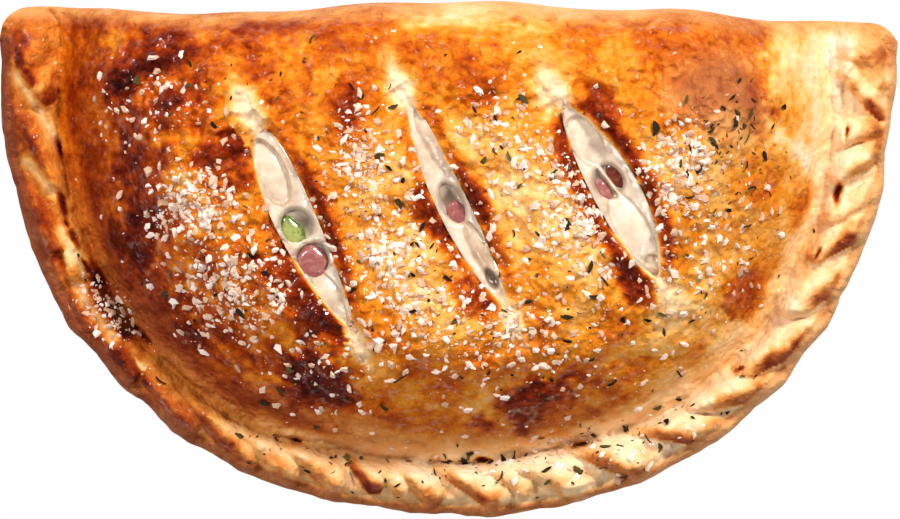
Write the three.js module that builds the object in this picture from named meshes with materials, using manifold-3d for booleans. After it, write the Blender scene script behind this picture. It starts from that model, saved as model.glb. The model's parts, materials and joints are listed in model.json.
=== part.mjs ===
// A baked calzone: a disc of pizza dough folded over its filling and crimped shut along the
// round side, with three cuts in the top that show melted cheese, ham and green pepper.
//
// Units are millimetres, +Z is up.  The origin is the middle of the bounding box at the level
// of the surface it lies on.  +X runs along the fold from the left corner to the right one,
// and +Y points from the crimped rim to the fold.

import * as THREE from 'three';
import { mergeVertices } from 'three/addons/utils/BufferGeometryUtils.js';
import Module from 'manifold-3d';

const wasm = await Module();
wasm.setup();

// ---------------------------------------------------------------- driving dimensions

const HALF_LENGTH = 120;          // half of the length along the fold
const CORNER_RADIUS = 8;          // rounding where the fold meets the rim
const RIM_TOP_Y = 58;             // where the round side starts, below the corners
const RIM_DEPTH = 126.6;          // how far the round side reaches from there
const RIM_POWER = 2.15;           // superellipse power of the round side
const RIM_LEAN = 4.2;             // sideways lean of the lowest stretch of the rim
const FOLD_Y = 66.1;              // mean place of the fold
const FOLD_TILT = -0.012;         // the fold runs slightly down to the right
const FOLD_WAVES = [              // middle x, rise and half length of the swells in the fold
  [-97, 2.0, 16], [-16, 2.2, 20], [18, 2.6, 16], [60, 1.4, 14], [84, -1.4, 10],
];

const DOME_HEIGHT = 45;           // top of the filled part
const FOLD_ROUND = 30;            // how far in from the fold the side is rounded
const FOLD_SHOULDER = 0.28;       // height of the fold's bulge, as a share of the dome
const RIM_ROUND = 46;             // how far in from the crease the dome keeps rising
const DOME_SWELLS = [             // x, y, rise and radius of the broad lumps of the dome
  [-72, 12, 1.6, 20], [-70, 46, -1.6, 12], [-24, 30, 1.4, 14], [22, 22, 1.5, 14],
  [76, 22, 1.8, 20], [10, -30, 1.2, 16], [88, -14, -1.4, 14],
];

const RIM_WIDTHS = [              // crease to edge, at equal steps from left to right corner
  16, 13.5, 13, 12.5, 12, 13.5, 14.5, 16, 14, 12.5, 14.5, 15.5, 19,
];
const FINGERS = [                 // finger pleats: inner end, outer end, half width and height
  [-106.4, 61.9, -114.9, 56.1, 4.8, 2.2], [-115.5, 57.7, -112.2, 47.5, 2.4, 2.4],
  [-102.6, 50.7, -108.5, 43.7, 2.9, 3.0], [-114.9, 29.8, -117.1, 39.5, 2.2, 2.0],
  [-105.6, 21.0, -112.8, 36.8, 2.6, 4.6], [-104.7, 3.6, -113.3, 15.9, 2.7, 4.2],
  [-99.9, -3.3, -100.5, 2.5, 2.4, 3.4], [-92.7, -8.2, -95.7, -1.2, 2.2, 3.4],
  [-102.1, -14.6, -105.8, -2.8, 2.4, 3.6], [-88.7, -18.3, -94.6, -10.3, 2.4, 3.0],
  [-93.5, -22.6, -100.5, -12.4, 2.7, 3.2], [-84.4, -24.7, -80.1, -30.1, 2.4, 2.4],
  [-91.9, -21.5, -86.0, -30.6, 2.9, 4.0], [-79.6, -32.2, -70.0, -45.1, 2.9, 4.6],
  [-67.8, -37.1, -55.0, -54.4, 3.2, 5.2], [-53.4, -46.7, -43.7, -57.4, 3.2, 4.6],
  [-42.1, -49.4, -30.4, -60.6, 3.2, 4.8], [-26.1, -51.5, -20.2, -60.6, 2.7, 4.4],
  [-20.7, -52.6, -12.7, -62.2, 2.7, 4.0], [-12.2, -55.3, -4.7, -64.3, 2.9, 4.6],
  [-2.0, -54.4, 12.4, -64.6, 3.2, 5.2], [9.8, -53.9, 19.9, -61.7, 2.4, 4.0],
  [17.3, -53.4, 34.9, -62.5, 3.2, 5.4], [33.8, -49.1, 53.1, -57.4, 3.5, 5.4],
  [48.8, -43.5, 72.9, -47.8, 3.5, 5.4], [65.4, -38.1, 85.8, -34.4, 3.2, 5.0],
  [78.8, -28.5, 97.5, -19.9, 3.8, 5.4], [90.6, -12.4, 106.1, -4.9, 3.5, 5.0],
  [98.1, 2.0, 112.0, 9.5, 3.2, 5.2], [101.3, 11.6, 114.6, 18.6, 2.7, 4.0],
  [103.9, 22.9, 115.7, 29.3, 2.9, 4.8], [103.4, 32.0, 116.8, 35.2, 2.7, 4.0],
  [105.6, 50.2, 116.3, 37.9, 2.4, 4.6], [107.7, 56.1, 114.6, 48.6, 4.6, 3.4],
];
const FINGER_OPEN = [0.35, 0.94]; // side to which each finger slopes off gently
const FINGER_SPREAD = 1.7;        // how much wider it is on that side
const EDGE_SWELLS = [             // how far the edge swells out, at equal steps along the rim
  0.2, 0, 0.5, 0.8, 0.6, 1.3, 1.6, 1.5, 2.0, 0.4, 0.8, -0.3, 1.2, 0.3, 0.5, 0.8, 0.1, 0.2, -0.8, 0,
  -0.6, 0.7, -0.5, 0, -0.6, 0, -0.1, 0.6, 1.2, 0.4, 1.5, 0.6, 1.7, 0.6, 0.5, 1.0, 0.7, -0.4, -0.2,
  0.1, 0,
];
const CREASE_HEIGHT = 5.2;        // dough left under the crease
const RIM_HEIGHT = 7.6;           // valleys of the rim
const EDGE_ROUND = 6;             // rounding of the rim's outer edge
const EDGE_SHARE = 0.42;          // height of the outermost line, as a share of the rim's
const SIDE_UNDERCUT = 0.55;       // how far the base draws in, as a share of that height

const SLITS = [
  { head: [-50.2, 33.3], tail: [-26.4, -17.5], halfWidth: 5.4, bow: -1.2, widest: 0.72 },
  { head: [-10.3, 40.3], tail: [14.6, -11.6], halfWidth: 3.9, bow: -1.2, widest: 0.95 },
  { head: [30.9, 40.0], tail: [55.0, -4.9], halfWidth: 6.0, bow: 1.2, widest: 1.0 },
];
const GULLY_DEPTH = 4.2;          // how far the dough sags along a cut
const GULLY_HALF = 12;
const LIP_RISE = 1.8;             // curled-up edge beside a cut
const LIP_OUT = 3.8;
const LIP_HALF = 2.8;

const DOUGH_WALL = 7.4;           // top crust over the filling, away from the cuts
const BOTTOM_WALL = 4;            // bottom crust
const SEAM_INSET = 6.5;           // solid dough inside the crease
const FOLD_INSET = 9;             // solid dough behind the fold
const GAP = 0.35;                 // air between the filling and what it touches
const CUT_DEPTH = 6;              // from the surface in a cut down into the filling
const CHEESE_SINK = 2.6;          // top of the cheese below the lips of a cut

// Pieces in the cuts: middle, size, depth below the crust, and turn in degrees from +X.
const MORSELS = [
  { node: 'green_pepper', at: [-41.8, 6.6], size: [9.4, 5.4, 3.6], sink: 5.4, turn: -62 },
  { node: 'ham_left', at: [-36, -0.4], size: [8.2, 7.4, 4.6], sink: 5.6, turn: -30 },
  { node: 'ham_middle', at: [2.2, 12.2], size: [7.6, 4.8, 4], sink: 5.6, turn: -60 },
  { node: 'ham_right_upper', at: [44, 22.4], size: [7.6, 4.8, 4], sink: 6.2, turn: -30 },
  { node: 'ham_right_lower', at: [40.2, 17.2], size: [5.6, 3.8, 3.6], sink: 5.8, turn: -62 },
];
const MORSEL_COLORS = {
  green_pepper: 0x8fae3f,
  ham_left: 0xb5707a,
  ham_middle: 0xa8736c,
  ham_right_upper: 0x7a2f22,
  ham_right_lower: 0xa85a58,
};
// Open bubbles in the cheese over those pieces.
const BUBBLES = [
  { at: [-40.2, 8.2], size: [11, 8.4, 7], turn: -62 },
  { at: [0.4, 14.6], size: [12, 6.2, 7], turn: -64 },
  { at: [42.4, 20.2], size: [9.5, 8.4, 7], turn: -62 },
];
const BUBBLE_SINK = 2.0;

// Grated hard cheese lies in drifts: x, y, radius and how many of the larger crumbs.
const CRUMB_DRIFTS = [
  [-66, 12, 16, 14], [-58, -8, 14, 9], [-22, 26, 13, 7], [-14, -2, 14, 8],
  [32, 14, 12, 9], [52, 28, 11, 9], [60, 12, 13, 4], [-92, -16, 8, 4],
  [-40, -34, 20, 4], [18, -34, 22, 4],
];
const CRUMB_SIZE = [1.7, 3.0];    // smallest and largest crumb that is modelled
const HERB_DRIFTS = [             // the same for flakes of dried herb
  [0, 0, 75, 9], [20, -52, 50, 6], [80, 0, 35, 4],
];
const HERB_SIZE = [3.4, 1.5, 0.8];

// Mesh steps.
const EDGE_COUNT = 184;           // points of a ring near the edge
const SLIVER = 0.02;              // bumps lower than this are left out of the faces
const RIM_SAMPLES = 240;          // fine points along the round side
const FOLD_SAMPLES = 96;          // fine points along the fold
const SPINE_SHARE = 0.55;         // half length of the middle line, as a share of the whole
const SPINE_Y = 8;

// ---------------------------------------------------------------- small helpers

const UP = new THREE.Vector3(0, 0, 1);
const clamp = (value, low, high) => Math.min(high, Math.max(low, value));
const mix = (from, to, share) => from + (to - from) * share;
const bell = (distance, half) => Math.exp(-((distance / half) ** 2));
const step = (low, high, value) => {
  const t = clamp((value - low) / (high - low), 0, 1);
  return t * t * (3 - 2 * t);
};
// A quarter of a rounded arch: 0 at the edge, 1 from the given run onwards.
const arch = (distance, run, power) => {
  const left = 1 - clamp(distance / run, 0, 1);
  return (1 - left ** power) ** (1 / power);
};
const softMax = (a, b, blend) => {
  const h = clamp(0.5 + 0.5 * (a - b) / blend, 0, 1);
  return mix(b, a, h) + blend * h * (1 - h);
};

// Seeded draws, so that the part is the same each time.
function makeDraw(seed) {
  let state = seed;
  return () => {
    state = (state * 1664525 + 1013904223) % 4294967296;
    return state / 4294967296;
  };
}

// ---------------------------------------------------------------- outline of the calzone

function foldLine(x) {
  let y = FOLD_Y + FOLD_TILT * x;
  for (const [middle, rise, half] of FOLD_WAVES) y += rise * bell(x - middle, half);
  return y;
}

// The round side, from the left corner down and round to the right corner.
function makeRim() {
  const points = [];
  for (let i = 0; i <= RIM_SAMPLES; i++) {
    const angle = Math.PI * i / RIM_SAMPLES;
    const across = Math.abs(Math.cos(angle)) ** (2 / RIM_POWER) * Math.sign(Math.cos(angle));
    const down = Math.sin(angle) ** (2 / RIM_POWER);
    const lean = RIM_LEAN * down ** 10;
    points.push(new THREE.Vector2(-HALF_LENGTH * across + lean, RIM_TOP_Y - RIM_DEPTH * down));
  }
  const along = [0];
  for (let i = 1; i < points.length; i++) {
    along.push(along[i - 1] + points[i].distanceTo(points[i - 1]));
  }
  return { points, along, length: along[along.length - 1] };
}
const rim = makeRim();

// Nearest place on the round side: how far away it is, and how far along the rim.
function nearRim(x, y) {
  let best = Infinity;
  let along = 0;
  for (let i = 1; i < rim.points.length; i++) {
    const a = rim.points[i - 1];
    const b = rim.points[i];
    const dx = b.x - a.x;
    const dy = b.y - a.y;
    const t = clamp(((x - a.x) * dx + (y - a.y) * dy) / (dx * dx + dy * dy), 0, 1);
    const distance = Math.hypot(x - a.x - t * dx, y - a.y - t * dy);
    if (distance < best) {
      best = distance;
      along = mix(rim.along[i - 1], rim.along[i], t);
    }
  }
  return { distance: best, along };
}

// The closed outline, counter-clockwise seen from above, starting at the left corner.
function makeOutline() {
  const points = rim.points.map((point) => point.clone());
  const corner = (side, from, to) => {
    const x = side * (HALF_LENGTH - CORNER_RADIUS);
    const y = foldLine(x) - CORNER_RADIUS;
    for (let i = 1; i < 6; i++) {
      const angle = mix(from, to, i / 6);
      points.push(new THREE.Vector2(
        x + CORNER_RADIUS * Math.cos(angle), y + CORNER_RADIUS * Math.sin(angle)));
    }
  };
  corner(1, 0, Math.PI / 2);
  for (let i = 0; i <= FOLD_SAMPLES; i++) {
    const x = mix(1, -1, i / FOLD_SAMPLES) * (HALF_LENGTH - CORNER_RADIUS);
    points.push(new THREE.Vector2(x, foldLine(x)));
  }
  corner(-1, Math.PI / 2, Math.PI);
  return points;
}
const outline = makeOutline();

// A place on the outline by its share of the way round.  The rim, which is pleated, takes
// the larger share of the places.
const RIM_PART = 0.74;
function outlinePoint(share) {
  const rimCount = RIM_SAMPLES;
  const restCount = outline.length - rimCount;
  const place = share < RIM_PART
    ? rimIndex(share / RIM_PART)
    : rimCount + (share - RIM_PART) / (1 - RIM_PART) * restCount;
  const low = Math.floor(place);
  const a = outline[low % outline.length];
  const b = outline[(low + 1) % outline.length];
  return a.clone().lerp(b, place - low);
}

// Index on the rim's fine points at an even share of its length.
function rimIndex(share) {
  const goal = share * rim.length;
  let i = 1;
  while (i < rim.along.length - 1 && rim.along[i] < goal) i++;
  return i - 1 + (goal - rim.along[i - 1]) / (rim.along[i] - rim.along[i - 1]);
}

// ---------------------------------------------------------------- rim and pleats

function rimWidth(along) {
  const place = clamp(along / rim.length, 0, 0.9999) * (RIM_WIDTHS.length - 1);
  const low = Math.floor(place);
  return mix(RIM_WIDTHS[low], RIM_WIDTHS[low + 1], step(0, 1, place - low));
}

// Height of the highest finger pleat over a place: rounded across, and wider on its open side.
function fingerRise(x, y) {
  let rise = 0;
  for (const [x0, y0, x1, y1, half, high] of FINGERS) {
    const dx = x1 - x0;
    const dy = y1 - y0;
    const t = clamp(((x - x0) * dx + (y - y0) * dy) / (dx * dx + dy * dy), 0, 1);
    const offX = x - x0 - t * dx;
    const offY = y - y0 - t * dy;
    const away = Math.hypot(offX, offY);
    const open = Math.max(0, offX * FINGER_OPEN[0] + offY * FINGER_OPEN[1]) / Math.max(away, 1e-6);
    const share = Math.min(1, away / (half * mix(1, FINGER_SPREAD, open)));
    rise = Math.max(rise, high * (1 - share * share) ** 0.75);
  }
  return rise;
}

function rimHeight(x, y, distance, along) {
  const share = clamp(1 - distance / rimWidth(along), 0, 1);
  const body = mix(CREASE_HEIGHT, RIM_HEIGHT, step(0, 0.35, share));
  const window = step(0, 0.3, share) * mix(1, 0.65, step(0.7, 1, share));
  const height = body + fingerRise(x, y) * window;
  return height * mix(EDGE_SHARE, 1, arch(distance, EDGE_ROUND, 2));
}

// ---------------------------------------------------------------- dome and cuts

// Place in a cut's own frame: a is 0 at its head and 1 at its tail, q is how far to its side.
function inSlit(slit, x, y) {
  const dx = slit.tail[0] - slit.head[0];
  const dy = slit.tail[1] - slit.head[1];
  const length = Math.hypot(dx, dy);
  const a = ((x - slit.head[0]) * dx + (y - slit.head[1]) * dy) / (length * length);
  const side = (-(x - slit.head[0]) * dy + (y - slit.head[1]) * dx) / length;
  return { a, q: side - slit.bow * 4 * clamp(a, 0, 1) * (1 - clamp(a, 0, 1)), length };
}

function slitPoint(slit, a, q) {
  const dx = slit.tail[0] - slit.head[0];
  const dy = slit.tail[1] - slit.head[1];
  const length = Math.hypot(dx, dy);
  const side = q + slit.bow * 4 * clamp(a, 0, 1) * (1 - clamp(a, 0, 1));
  return new THREE.Vector2(
    slit.head[0] + a * dx - side * dy / length, slit.head[1] + a * dy + side * dx / length);
}

// Half opening of a cut, as a share of its widest.
function slitShape(slit, a) {
  return Math.sin(Math.PI * clamp(a, 0, 1) ** slit.widest) ** 0.6;
}

function slitRelief(x, y) {
  let relief = 0;
  for (const slit of SLITS) {
    const { a, q } = inSlit(slit, x, y);
    const reach = step(-0.4, 0.1, a) * step(1.45, 0.9, a);
    relief -= GULLY_DEPTH * bell(q, GULLY_HALF) * reach;
    const half = slit.halfWidth * slitShape(slit, a);
    const edge = step(-0.05, 0.15, a) * step(1.08, 0.85, a);
    relief += LIP_RISE * bell(Math.abs(q) - half - LIP_OUT, LIP_HALF) * edge;
  }
  return relief;
}

// How far the dome has risen at a place: 0 at the crease, 1 in the middle.
function domeRise(near) {
  const inside = near.distance - rimWidth(near.along);
  return Math.sin(Math.PI / 2 * clamp(inside / RIM_ROUND, 0, 1)) ** 0.8;
}

// The dome without its lumps and cuts.
function plainDome(x, y, near) {
  const fold = mix(FOLD_SHOULDER, 1, arch(foldLine(x) - y, FOLD_ROUND, 2.1));
  return DOME_HEIGHT * domeRise(near) * fold;
}

function domeHeight(x, y, near) {
  let relief = slitRelief(x, y);
  for (const [cx, cy, lift, radius] of DOME_SWELLS) {
    relief += lift * bell(Math.hypot(x - cx, y - cy), radius);
  }
  return plainDome(x, y, near) + relief * domeRise(near) * step(0, 8, foldLine(x) - y);
}

// Height of the crust's upper side.
function topHeight(x, y) {
  const near = nearRim(x, y);
  const foldSide = mix(EDGE_SHARE, 1, arch(foldLine(x) - y, EDGE_ROUND + 4, 2));
  return softMax(domeHeight(x, y, near), rimHeight(x, y, near.distance, near.along) * foldSide, 2);
}

// ---------------------------------------------------------------- meshes from rings

// Collects rings of points and joins each to the next, whatever their numbers of points.
class RingMesh {
  constructor() {
    this.points = [];
    this.faces = [];
    this.last = null;
  }

  addRing(ring) {
    const start = this.points.length;
    this.points.push(...ring);
    const indices = ring.map((_, i) => start + i);
    if (this.last) this.join(this.last, indices);
    this.last = indices;
    return indices;
  }

  join(lower, upper) {
    let i = 0;
    let j = 0;
    while (i < lower.length || j < upper.length) {
      const a = lower[i % lower.length];
      const b = upper[j % upper.length];
      const lowerNext = (i + 1) / lower.length;
      const upperNext = (j + 1) / upper.length;
      if (i < lower.length && (lowerNext <= upperNext || j >= upper.length)) {
        this.faces.push([a, lower[(i + 1) % lower.length], b]);
        i += 1;
      } else {
        this.faces.push([a, upper[(j + 1) % upper.length], b]);
        j += 1;
      }
    }
  }

  // Closes the first ring with a flat face that looks down.
  closeFlat(indices) {
    const flat = indices.map((i) => new THREE.Vector2(this.points[i].x, this.points[i].y));
    for (const [a, b, c] of THREE.ShapeUtils.triangulateShape(flat, [])) {
      this.faces.push([indices[c], indices[b], indices[a]]);
    }
  }

  // Closes a long narrow ring by joining its two sides, from the end where it starts.
  closeSeam(indices, looksDown) {
    let i = 0;
    let j = indices.length - 1;
    const gone = (k) => this.points[indices[k]].distanceTo(this.points[indices[0]]);
    while (j - i > 1) {
      const lower = gone(i + 1) < gone(j - 1);
      const face = [indices[i], indices[lower ? i + 1 : j - 1], indices[j]];
      this.faces.push(looksDown ? face.reverse() : face);
      if (lower) i += 1;
      else j -= 1;
    }
  }

  geometry() {
    const position = new Float32Array(this.points.length * 3);
    this.points.forEach((point, i) => point.toArray(position, i * 3));
    const geometry = new THREE.BufferGeometry();
    geometry.setAttribute('position', new THREE.BufferAttribute(position, 3));
    geometry.setIndex(this.faces.flat());
    return geometry;
  }
}

function toManifold(geometry) {
  const bare = geometry.clone();
  bare.deleteAttribute('normal');
  bare.deleteAttribute('uv');
  const merged = mergeVertices(bare, 1e-4);
  return new wasm.Manifold(new wasm.Mesh({
    numProp: 3,
    vertProperties: new Float32Array(merged.attributes.position.array),
    triVerts: new Uint32Array(merged.index.array),
  }));
}

function fromManifold(solid) {
  const mesh = solid.getMesh();
  const geometry = new THREE.BufferGeometry();
  geometry.setAttribute('position', new THREE.BufferAttribute(mesh.vertProperties, 3));
  geometry.setIndex(new THREE.BufferAttribute(mesh.triVerts, 1));
  geometry.computeVertexNormals();
  return geometry;
}

// A ring inside the outline.  Each place moves towards the middle line, first by an inset
// that may differ along the outline, then by a share of what is left.
function insideRing(count, inset, share) {
  const ring = [];
  for (let i = 0; i < count; i++) {
    const edge = outlinePoint(i / count);
    const middle = new THREE.Vector2(edge.x * SPINE_SHARE, SPINE_Y);
    const length = edge.distanceTo(middle);
    const way = typeof inset === 'function' ? inset(edge) : inset;
    ring.push(edge.lerp(middle, mix(way / length, 1, share)));
  }
  return ring;
}

// ---------------------------------------------------------------- crust

// How far the edge of the rim swells out at a place.
function edgeBulge(x, y) {
  const { along } = nearRim(x, y);
  const place = clamp(along / rim.length, 0, 0.9999) * (EDGE_SWELLS.length - 1);
  const low = Math.floor(place);
  const swell = mix(EDGE_SWELLS[low], EDGE_SWELLS[low + 1], place - low);
  return swell * step(2, 10, foldLine(x) - y);
}

// A ring of the side, from the flat base at turn 0 out and up to the widest line at turn 1.
function sideRing(count, turn) {
  const out = Math.sin(Math.PI / 2 * turn);
  const up = 1 - Math.cos(Math.PI / 2 * turn);
  const tall = insideRing(count, 0, 0).map(({ x, y }) => topHeight(x, y));
  const inset = (edge) => {
    const undercut = SIDE_UNDERCUT * topHeight(edge.x, edge.y) + 1;
    return undercut * (1 - out) - edgeBulge(edge.x, edge.y) * out;
  };
  return insideRing(count, inset, 0).map(({ x, y }, i) => new THREE.Vector3(x, y, tall[i] * up));
}

function crustBody() {
  const mesh = new RingMesh();
  mesh.closeFlat(mesh.addRing(sideRing(120, 0)));
  mesh.addRing(sideRing(160, 0.4));
  mesh.addRing(sideRing(EDGE_COUNT, 0.75));
  mesh.addRing(sideRing(EDGE_COUNT, 1));
  const TOP_RINGS = [       // inset, share of the rest of the way in, points
    ...[0.7, 2.2, 4.4, 6.8, 9.4, 12.2].map((inset) => [inset, 0, EDGE_COUNT]),
    [15, 0, 150], [18, 0, 132], [18, 0.08, 124], [18, 0.17, 114], [18, 0.26, 104],
    [18, 0.36, 94], [18, 0.46, 84], [18, 0.57, 74], [18, 0.68, 64], [18, 0.79, 56],
    [18, 0.9, 48],
  ];
  let inner;
  for (const [inset, share, count] of TOP_RINGS) {
    inner = mesh.addRing(insideRing(count, inset, share)
      .map(({ x, y }) => new THREE.Vector3(x, y, topHeight(x, y))));
  }
  mesh.closeSeam(inner, false);
  return toManifold(mesh.geometry());
}

// How far a place on the outline moves inwards before it is clear of the seam and the fold.
function innerReach(edge, gap) {
  const middle = new THREE.Vector2(edge.x * SPINE_SHARE, SPINE_Y);
  const way = middle.sub(edge).normalize();
  const isInside = (reach) => {
    const x = edge.x + way.x * reach;
    const y = edge.y + way.y * reach;
    const { distance, along } = nearRim(x, y);
    return foldLine(x) - y > FOLD_INSET + gap && distance > rimWidth(along) + SEAM_INSET + gap;
  };
  let reach = 0;
  while (!isInside(reach)) reach += 0.25;
  return reach;
}

// The space inside the crust, or what fills it with the given gap all round.
function innerBody(gap) {
  const mesh = new RingMesh();
  const reach = (edge) => innerReach(edge, 1.5 * gap);
  const floor = BOTTOM_WALL + gap;
  const ceiling = (x, y, share) => {
    const roof = plainDome(x, y, nearRim(x, y)) - DOUGH_WALL - 1.4 * gap;
    return Math.max(floor + 0.6, mix(floor + 1.5, roof, share));
  };
  const base = mesh.addRing(insideRing(48, (edge) => reach(edge) + 2, 0)
    .map(({ x, y }) => new THREE.Vector3(x, y, floor)));
  mesh.closeFlat(base);
  const LEVELS = [          // inset, share of the way in, share of the height, points
    [0, 0, 0.12, 56], [1.5, 0, 0.62, 56], [5, 0, 0.95, 48], [6, 0.22, 1, 40],
    [6, 0.5, 1, 30], [6, 0.8, 1, 22],
  ];
  let inner;
  for (const [inset, share, height, count] of LEVELS) {
    inner = mesh.addRing(insideRing(count, (edge) => reach(edge) + inset, share)
      .map(({ x, y }) => new THREE.Vector3(x, y, ceiling(x, y, height))));
  }
  mesh.closeSeam(inner, false);
  return toManifold(mesh.geometry());
}

// Closed loft along a cut: each level has an extra half width and a height over the crust.
function slitLoft(slit, levels, count) {
  const mesh = new RingMesh();
  const { length } = inSlit(slit, 0, 0);
  let ring;
  for (const { extra, lift, narrow = 1 } of levels) {
    const points = [];
    for (let i = 0; i < count; i++) {
      const angle = 2 * Math.PI * (i + 0.5) / count;
      const a = 0.5 - 0.5 * Math.cos(angle);
      const stretched = mix(0.5, a, 1 + 2 * extra / length);
      const half = Math.max(0.2, slit.halfWidth * narrow + extra) * slitShape(slit, a);
      const { x, y } = slitPoint(slit, stretched, Math.sin(angle) > 0 ? -half : half);
      points.push(new THREE.Vector3(x, y, slitSurface(slit, stretched) + lift));
    }
    ring = mesh.addRing(points);
    if (ring[0] === 0) mesh.closeSeam(ring, true);
  }
  mesh.closeSeam(ring, false);
  return toManifold(mesh.geometry());
}

// Level of the crust along the middle of a cut.
function slitSurface(slit, a) {
  const { x, y } = slitPoint(slit, a, 0);
  return topHeight(x, y);
}

function slitCutter(slit) {
  return slitLoft(slit, [
    { extra: -0.8, lift: -CUT_DEPTH },
    { extra: -0.8, lift: -3 },
    { extra: 0, lift: -1 },
    { extra: 1.3, lift: 1.2 },
    { extra: 2.6, lift: 5 },
  ], 24);
}

// ---------------------------------------------------------------- toppings

// Whether a topping may lie at a place: inside the outline and clear of the cuts.
function onCrust(x, y) {
  const near = nearRim(x, y);
  const across = Math.abs(x) / HALF_LENGTH;
  const down = clamp((RIM_TOP_Y - y) / RIM_DEPTH, 0, 1);
  if (across ** RIM_POWER + down ** RIM_POWER > 1) return false;
  const clear = SLITS.every((slit) => {
    const { a, q } = inSlit(slit, x, y);
    return a < -0.12 || a > 1.12 || Math.abs(q) > slit.halfWidth * slitShape(slit, a) + 3;
  });
  return clear && near.distance > 4 && foldLine(x) - y > 10;
}

// Places in drifts, spread by the given draw.
function scatter(drifts, draw) {
  const places = [];
  for (const [cx, cy, radius, count] of drifts) {
    let placed = 0;
    for (let tries = 0; placed < count && tries < 40 * count; tries++) {
      const angle = 2 * Math.PI * draw();
      const out = radius * Math.sqrt(draw());
      const place = [cx + out * Math.cos(angle), cy + out * Math.sin(angle)];
      const free = places.every(([x, y]) => Math.hypot(x - place[0], y - place[1]) > 4.5);
      if (free && onCrust(...place)) {
        places.push(place);
        placed += 1;
      }
    }
  }
  return places;
}

// Lays a small shape on the crust's faces, leaning as they do.
function seat(geometry, crust, x, y, lift, spin) {
  const down = new THREE.Raycaster(new THREE.Vector3(x, y, 100), new THREE.Vector3(0, 0, -1));
  const [hit] = down.intersectObject(crust);
  const turn = new THREE.Quaternion().setFromUnitVectors(UP, hit.face.normal)
    .multiply(new THREE.Quaternion().setFromAxisAngle(UP, spin));
  const place = hit.point.addScaledVector(hit.face.normal, lift);
  geometry.applyMatrix4(new THREE.Matrix4().compose(place, turn, new THREE.Vector3(1, 1, 1)));
  return toManifold(geometry);
}

function crumb(crust, x, y, draw) {
  const size = mix(CRUMB_SIZE[0], CRUMB_SIZE[1], draw() ** 1.5);
  const geometry = new THREE.IcosahedronGeometry(0.5, 0);
  geometry.scale(size, size * mix(0.6, 0.9, draw()), size * mix(0.5, 0.75, draw()));
  return seat(geometry, crust, x, y, 0.14 * size, 2 * Math.PI * draw());
}

function herbFlake(crust, x, y, draw) {
  const geometry = new THREE.IcosahedronGeometry(0.5, 0);
  geometry.scale(HERB_SIZE[0] * mix(0.7, 1.1, draw()), HERB_SIZE[1], HERB_SIZE[2]);
  return seat(geometry, crust, x, y, 0.1, 2 * Math.PI * draw());
}

function toppings(crust) {
  const draw = makeDraw(20);
  const crumbs = scatter(CRUMB_DRIFTS, draw).map(([x, y]) => crumb(crust, x, y, draw));
  const herbs = scatter(HERB_DRIFTS, draw).map(([x, y]) => herbFlake(crust, x, y, draw));
  return [...crumbs, ...herbs];
}

function makeCrust() {
  let solid = crustBody().subtract(innerBody(0));
  for (const slit of SLITS) solid = solid.subtract(slitCutter(slit));
  const bare = new THREE.Mesh(fromManifold(solid));
  return wasm.Manifold.union([solid, ...toppings(bare)]).simplify(SLIVER);
}

// ---------------------------------------------------------------- filling

// A rounded lump on its place in the top, grown by a gap where a hollow for it is cut.
function lump({ at, size, sink, turn }, gap) {
  const [x, y] = at;
  const geometry = new THREE.SphereGeometry(0.5, 10, 6);
  geometry.scale(size[0] + 2 * gap, size[1] + 2 * gap, size[2] + 2 * gap);
  geometry.rotateZ(THREE.MathUtils.degToRad(turn));
  geometry.translate(x, y, topHeight(x, y) - sink);
  return toManifold(geometry);
}

function makeFilling() {
  let solid = innerBody(GAP);
  for (const slit of SLITS) {
    solid = solid.add(slitLoft(slit, [
      { extra: -1.3, lift: -CUT_DEPTH - 2 },
      { extra: -1.3, lift: -CHEESE_SINK - 1.4 },
      { extra: -1.3, lift: -CHEESE_SINK - 0.4, narrow: 0.85 },
      { extra: -1.3, lift: -CHEESE_SINK, narrow: 0.5 },
    ], 18));
  }
  for (const bubble of BUBBLES) {
    solid = solid.subtract(lump({ ...bubble, sink: BUBBLE_SINK }, 0));
  }
  for (const morsel of MORSELS) solid = solid.subtract(lump(morsel, GAP));
  return solid.simplify(SLIVER);
}

// ---------------------------------------------------------------- the part

function addMesh(group, name, geometry, color, roughness) {
  const material = new THREE.MeshStandardMaterial({ color, roughness, metalness: 0 });
  const mesh = new THREE.Mesh(geometry, material);
  mesh.name = name;
  group.add(mesh);
}

const calzone = new THREE.Group();
addMesh(calzone, 'crust', fromManifold(makeCrust()), 0xd98a2b, 0.55);
addMesh(calzone, 'cheese_filling', fromManifold(makeFilling()), 0xf3e3c3, 0.25);
for (const morsel of MORSELS) {
  const geometry = fromManifold(lump(morsel, 0));
  addMesh(calzone, morsel.node, geometry, MORSEL_COLORS[morsel.node], 0.35);
}

export default calzone;
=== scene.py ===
"""Dresses a baked calzone: glazed dough, melted cheese in three cuts, ham, pepper and toppings.

Sizes are millimetres until a mesh is made, and metres from there on, in the frame of the solids:
+X along the fold, +Y from the crimped rim to the fold, +Z up, the table at zero.
"""
import json
import logging
import math
from collections.abc import Callable
from dataclasses import dataclass
from enum import Enum
from functools import cached_property, partial
from typing import Self

import bmesh
import bpy
import numpy as np
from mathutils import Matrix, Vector
from mathutils.geometry import delaunay_2d_cdt

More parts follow.
